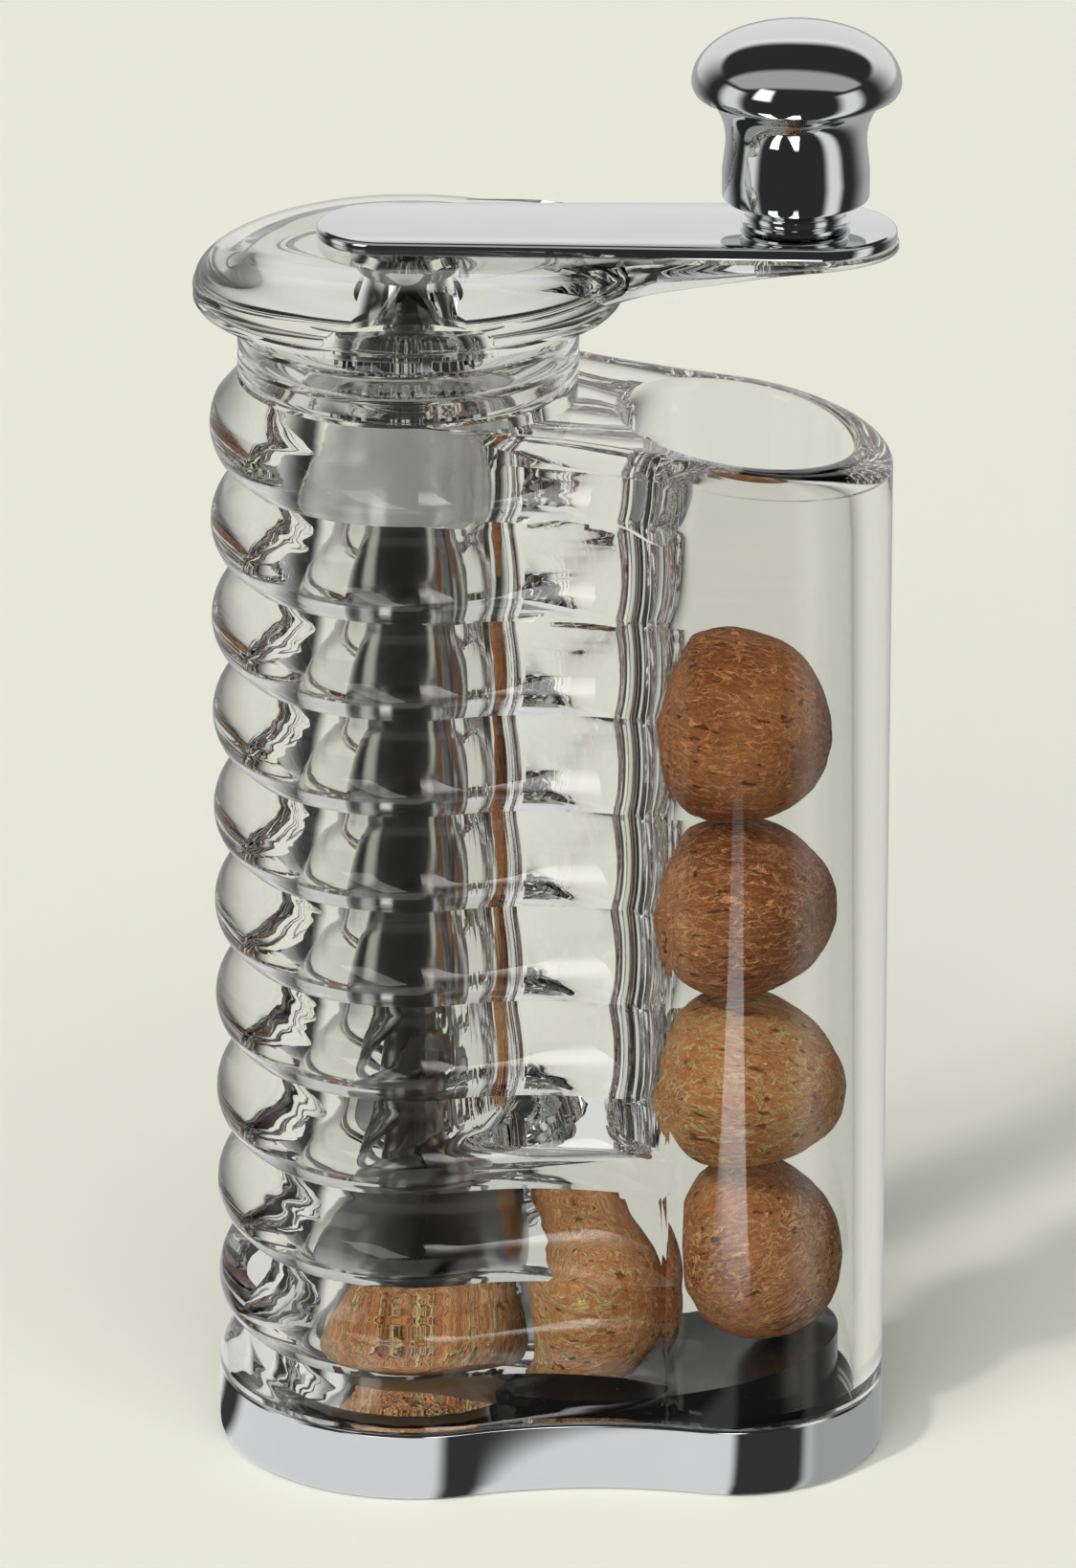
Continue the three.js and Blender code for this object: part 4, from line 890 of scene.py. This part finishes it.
def spring():
    """The pressure spring as a wire swept along a helix."""
    tree = bpy.data.node_groups.new("wound spring", "GeometryNodeTree")
    tree.interface.new_socket("Geometry", in_out="OUTPUT", socket_type="NodeSocketGeometry")
    for label, value in (("Radius", 0.0057), ("Wire", WIRE / 1000), ("Turns", 10.0), ("Height", 0.0233)):
        socket = tree.interface.new_socket(label, in_out="INPUT", socket_type="NodeSocketFloat")
        socket.default_value = value
    nodes, links = tree.nodes, tree.links
    start, end = nodes.new("NodeGroupInput"), nodes.new("NodeGroupOutput")
    spiral = nodes.new("GeometryNodeCurveSpiral")
    spiral.inputs["Resolution"].default_value = 48
    circle = nodes.new("GeometryNodeCurvePrimitiveCircle")
    circle.inputs["Resolution"].default_value = 16
    sweep = nodes.new("GeometryNodeCurveToMesh")
    sweep.inputs["Fill Caps"].default_value = True
    real, paint = nodes.new("GeometryNodeRealizeInstances"), nodes.new("GeometryNodeSetMaterial")
    paint.inputs["Material"].default_value = steel
    links.new(start.outputs["Radius"], spiral.inputs["Start Radius"])
    links.new(start.outputs["Radius"], spiral.inputs["End Radius"])
    links.new(start.outputs["Turns"], spiral.inputs["Rotations"])
    links.new(start.outputs["Height"], spiral.inputs["Height"])
    links.new(start.outputs["Wire"], circle.inputs["Radius"])
    links.new(spiral.outputs[0], sweep.inputs["Curve"])
    links.new(circle.outputs[0], sweep.inputs["Profile Curve"])
    links.new(sweep.outputs[0], real.inputs[0])
    links.new(real.outputs[0], paint.inputs[0])
    links.new(paint.outputs[0], end.inputs[0])
    holder = bpy.data.objects.new("holder", bpy.data.meshes.new("holder"))
    bpy.context.scene.collection.objects.link(holder)
    holder.modifiers.new("coil", "NODES").node_group = tree
    mesh = bpy.data.meshes.new_from_object(holder.evaluated_get(bpy.context.evaluated_depsgraph_get()))
    bpy.data.objects.remove(holder)
    low = PLATE_TOP + GAP + WIRE
    shell = ([(v.co.x * 1000, v.co.y * 1000, v.co.z * 1000 + low) for v in mesh.vertices],
             [tuple(p.vertices) for p in mesh.polygons])
    bpy.data.meshes.remove(mesh)
    return shell


knob_at = (CRANK_RADIUS, 0, 0)
piece("casing", casing(), "housing", clear, ["housing_body"])
piece("collar", neck_collar(), "housing", clear, ["neck_collar"])
piece("bush", tube(8.1, 11.3, SLEEVE_FOOT, TOP, 0.3), "housing", bush, ["shaft_bush"])
piece("foot_ring", base_ring(), "housing", chrome, ["base_ring"])
piece("chute", feed_ramp(), "housing", black, ["feed_ramp"])
for seed, (at, half, tilt, tip, dark, light) in enumerate(NUTMEGS, 1):
    skin = nutmeg_skin(seed, tilt, dark, light)
    whole = nutmeg(at, half, tilt, tip, seed)
    piece(f"whole_nutmeg_{seed}", whole, "housing", skin, [f"nutmeg_{seed}"], sharp=60)
piece("sleeve", guide_sleeve(), "guide", chrome, ["guide_sleeve"], True)
piece("cap", crank_cap(), "crank", clear, ["crank_cap"], True)
piece("strip", crank_strip(), "crank", crowned, ["crank_strip"], True)
piece("hub", drive_hub(), "crank", chrome, ["drive_hub"], True)
piece("shaft", drive_tube(), "crank", shaft, ["drive_tube"], True)
piece("seat", spring_seat(), "crank", steel, ["spring_seat"], True)
coil = piece("coil", spring(), "crank", steel, ["pressure_spring"], True)
piece("knob_foot", moved(knob_collar(), knob_at), "crank", chrome, ["knob_collar"], True)
piece("grip", moved(knob_shell(), knob_at), "knob", chrome, ["knob"], True)
piece("rod", plunger_rod(), "gripper", steel, ["plunger_rod"], True)
piece("plate", pressure_plate(), "gripper", steel, ["pressure_plate"], True)
piece("teeth", prongs(), "gripper", steel, ["gripper_prongs"], True)
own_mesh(coil)
worn = nutmeg_skin(6, 0, WORN_DARK_PLUS_GLARE, WORN_LIGHT_PLUS_GLARE)
piece("worn_nutmeg", ground_nutmeg(), "gripper", worn, ["nutmeg_6"], True, sharp=50)
small = {node: steel for node in ("grater_plate", "hub_screw", "knob_pin", "pin_clip", "rod_stop",
                                  "plunger_nut", "base_screw_1", "base_screw_2", "base_screw_3")}
for node, look in {**small, "grater_carrier": black}.items():
    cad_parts[node].data.materials.clear()
    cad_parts[node].data.materials.append(look)


# Floor
def floor_look(g):
    here = g.place()
    return {
        "Base Color": g.mix(g.noise(here, 3, 2), (0.765, 0.775, 0.675), (0.775, 0.785, 0.685)),
        "Roughness": 0.85 + 0.05 * g.noise(here, 30, 2),
    }


reach = 6.0
corners = [(-reach, -reach, 0), (reach, -reach, 0), (reach, reach, 0), (-reach, reach, 0)]
floor_mesh = bpy.data.meshes.new("floor")
floor_mesh.from_pydata(corners, [], [(0, 1, 2, 3)])
floor_mesh.materials.append(material("floor", floor_look, **{"Specular IOR Level": 0.0}))
floor = bpy.data.objects.new("floor", floor_mesh)
bpy.context.scene.collection.objects.link(floor)

# Camera
VIEW_FROM, VIEW_UP, VIEW_FAR = math.radians(5.94), math.radians(21.3), 1.241
AIM_X, AIM_Z = 14.35, 78.85
ahead = math.cos(VIEW_UP)
forward = Vector((-math.sin(VIEW_FROM) * ahead, math.cos(VIEW_FROM) * ahead, -math.sin(VIEW_UP)))
aim = Vector(((AIM_X - ORIGIN_X) / 1000, 0, AIM_Z / 1000))
camera = bpy.data.cameras.new("camera")
camera.sensor_fit = "VERTICAL"
camera.sensor_height = 36
camera.lens = 255.14
camera.clip_start, camera.clip_end = 0.05, 50
eye = bpy.data.objects.new("camera", camera)
eye.location = aim - forward * VIEW_FAR
eye.rotation_euler = forward.to_track_quat("-Z", "Y").to_euler()
bpy.context.scene.collection.objects.link(eye)
bpy.context.scene.camera = eye

# Light: a plain studio, pale behind the mill and dark in front of it, with soft boxes at both sides,
# overhead, and high at the left. Directions are in degrees from the front, towards +X
world = bpy.data.worlds.new("studio")
bpy.context.scene.world = world
world.use_nodes = True
world.cycles_visibility.diffuse = False
g = Graph(world.node_tree)
direction = g.out(g.node("ShaderNodeTexCoord"), "Generated")
split = g.node("ShaderNodeSeparateXYZ", None, {0: direction})
dx, dy, dz = (g.out(split, i) for i in range(3))
across = g.math("ARCTAN2", dx, -1.0 * dy) * (180 / math.pi)


def band(angle, start, end, soft):
    """1 between two angles, with soft edges."""
    made = angle.graph
    return made.step(angle, start - soft, start + soft) * (1.0 - made.step(angle, end - soft, end + soft))


def box(x0, x1, z0, z1, soft=8.0):
    """A soft box in the room, from its angles and the heights of its direction."""
    return band(across, x0, x1, soft) * band(dz, z0, z1, 0.05)


PALE, GREY, DARK = 0.8, 0.4, 0.03
from_back = g.math("ARCTAN2", dz, dy) * (180 / math.pi)
seen_through = g.out(g.node("ShaderNodeLightPath"), "Is Transmission Ray")
behind = g.step(abs(across), 100.0, 150.0)
below = 1.0 - g.step(dz, -0.1, 0.05)
room = DARK + PALE * behind * (1.0 - 0.5 * below * (1.0 - seen_through))
overhead = DARK + band(from_back, 10.0, 38.0, 5.0) + GREY * band(from_back, 85.0, 125.0, 5.0)
level = room + (overhead - room) * g.step(dz, 0.5, 0.6)
level = level + PALE * box(-85.0, -60.0, -1.1, 0.45) + PALE * box(55.0, 80.0, -1.1, 0.45)
level = level + 1.5 * box(-45.0, -25.0, 0.25, 0.7, 3.0)
tint = g.mix(seen_through * below, (1.0, 1.0, 0.985), (1.0, 1.0, 0.9))
background = g.node("ShaderNodeBackground", None, {"Color": tint, "Strength": level})
g.tree.links.new(background.outputs[0], g.node("ShaderNodeOutputWorld").inputs[0])
floor.visible_glossy = floor.visible_transmission = False


CARD_LEVEL = 0.00005


def card(name, corners, paint):
    """A card on the floor that only shows in polished surfaces. Corners in mm, from the crank's axis."""
    made = bpy.data.materials.new(name)
    made.use_nodes = True
    graph = Graph(made.node_tree)
    split = graph.node("ShaderNodeSeparateXYZ", None, {0: graph.place()})
    x, y = (graph.out(split, i) * 1000.0 for i in range(2))
    light = graph.node("ShaderNodeEmission", None, {"Color": paint(graph, x + ORIGIN_X, y)})
    made.node_tree.links.new(light.outputs[0], graph.node("ShaderNodeOutputMaterial").inputs[0])
    mesh = bpy.data.meshes.new(name)
    spots = [((x - ORIGIN_X) / 1000, y / 1000, CARD_LEVEL) for x, y in corners]
    mesh.from_pydata(spots, [], [(0, 1, 2, 3)])
    mesh.materials.append(made)
    sheet = bpy.data.objects.new(name, mesh)
    bpy.context.scene.collection.objects.link(sheet)
    for way in ("camera", "diffuse", "transmission", "shadow"):
        setattr(sheet, f"visible_{way}", False)


def ring_card(g, x, y):
    """A pale card with three dark flags, which give the polished ring its bands."""
    wide = g.math("ARCTAN2", x, (y + 10.0) * -1.0) * (180 / math.pi)
    narrow = g.math("ARCTAN2", x - SPACING, (y + 10.0) * -1.0) * (180 / math.pi)
    dark = (band(wide, -120.0, -100.0, 5.0), band(wide, 25.0, 45.0, 5.0), band(narrow, 10.0, 65.0, 5.0))
    level = PALE * (1.0 - 0.5 * g.step(narrow, 60.0, 75.0))
    for flag in dark:
        level = level * (1.0 - 0.95 * flag)
    return level


def mirrored_once(g):
    """1 on what a polished surface mirrors at once, and 0.1 on what comes by way of others."""
    return 1.0 - 0.9 * g.step(g.out(g.node("ShaderNodeLightPath"), "Ray Depth"), 1.2, 1.8)


def front_strip(g, x, y):
    along = g.step(y, -260.0, -130.0) * (1.0 - g.step(y, -95.0, -62.0))
    sideways = 0.25 + 0.75 * g.step(x - 0.2 * y, 42.0, 60.0)
    return 5.0 * along * sideways * mirrored_once(g)


def side_strip(g, x, y):
    return 2.2 * mirrored_once(g)


card("ring card", [(-60, -58), (95, -58), (95, 60), (-60, 60)], ring_card)
card("front strip", [(50, -240), (80, -240), (57, -60), (16, -60)], front_strip)
card("side strip", [(-113, -173), (-59, -208), (6, -68), (-10, -60)], side_strip)


def lamp(name, energy, spread, source):
    """A soft far lamp that is not mirrored."""
    light = bpy.data.lights.new(name, "SUN")
    light.energy = energy
    light.angle = math.radians(spread)
    made = bpy.data.objects.new(name, light)
    made.rotation_euler = Vector(source).to_track_quat("Z", "Y").to_euler()
    made.visible_glossy = made.visible_transmission = False
    bpy.context.scene.collection.objects.link(made)


# Strength, width in degrees, and the way from the mill to the lamp
lamp("key", 1.4, 4.5, (-0.60, -0.80, 0.90))
lamp("fill", 2.02, 70, (0.05, -0.75, 0.95))
lamp("top", 0.4, 150, (0.0, 0.0, 1.0))
lamp("front", 2.9, 40, (-0.15, -1.0, 0.08))

scene = bpy.context.scene
scene.view_settings.view_transform = "Standard"
scene.cycles.max_bounces = 32
scene.cycles.transmission_bounces = 28
scene.cycles.glossy_bounces = 12
scene.cycles.transparent_max_bounces = 16
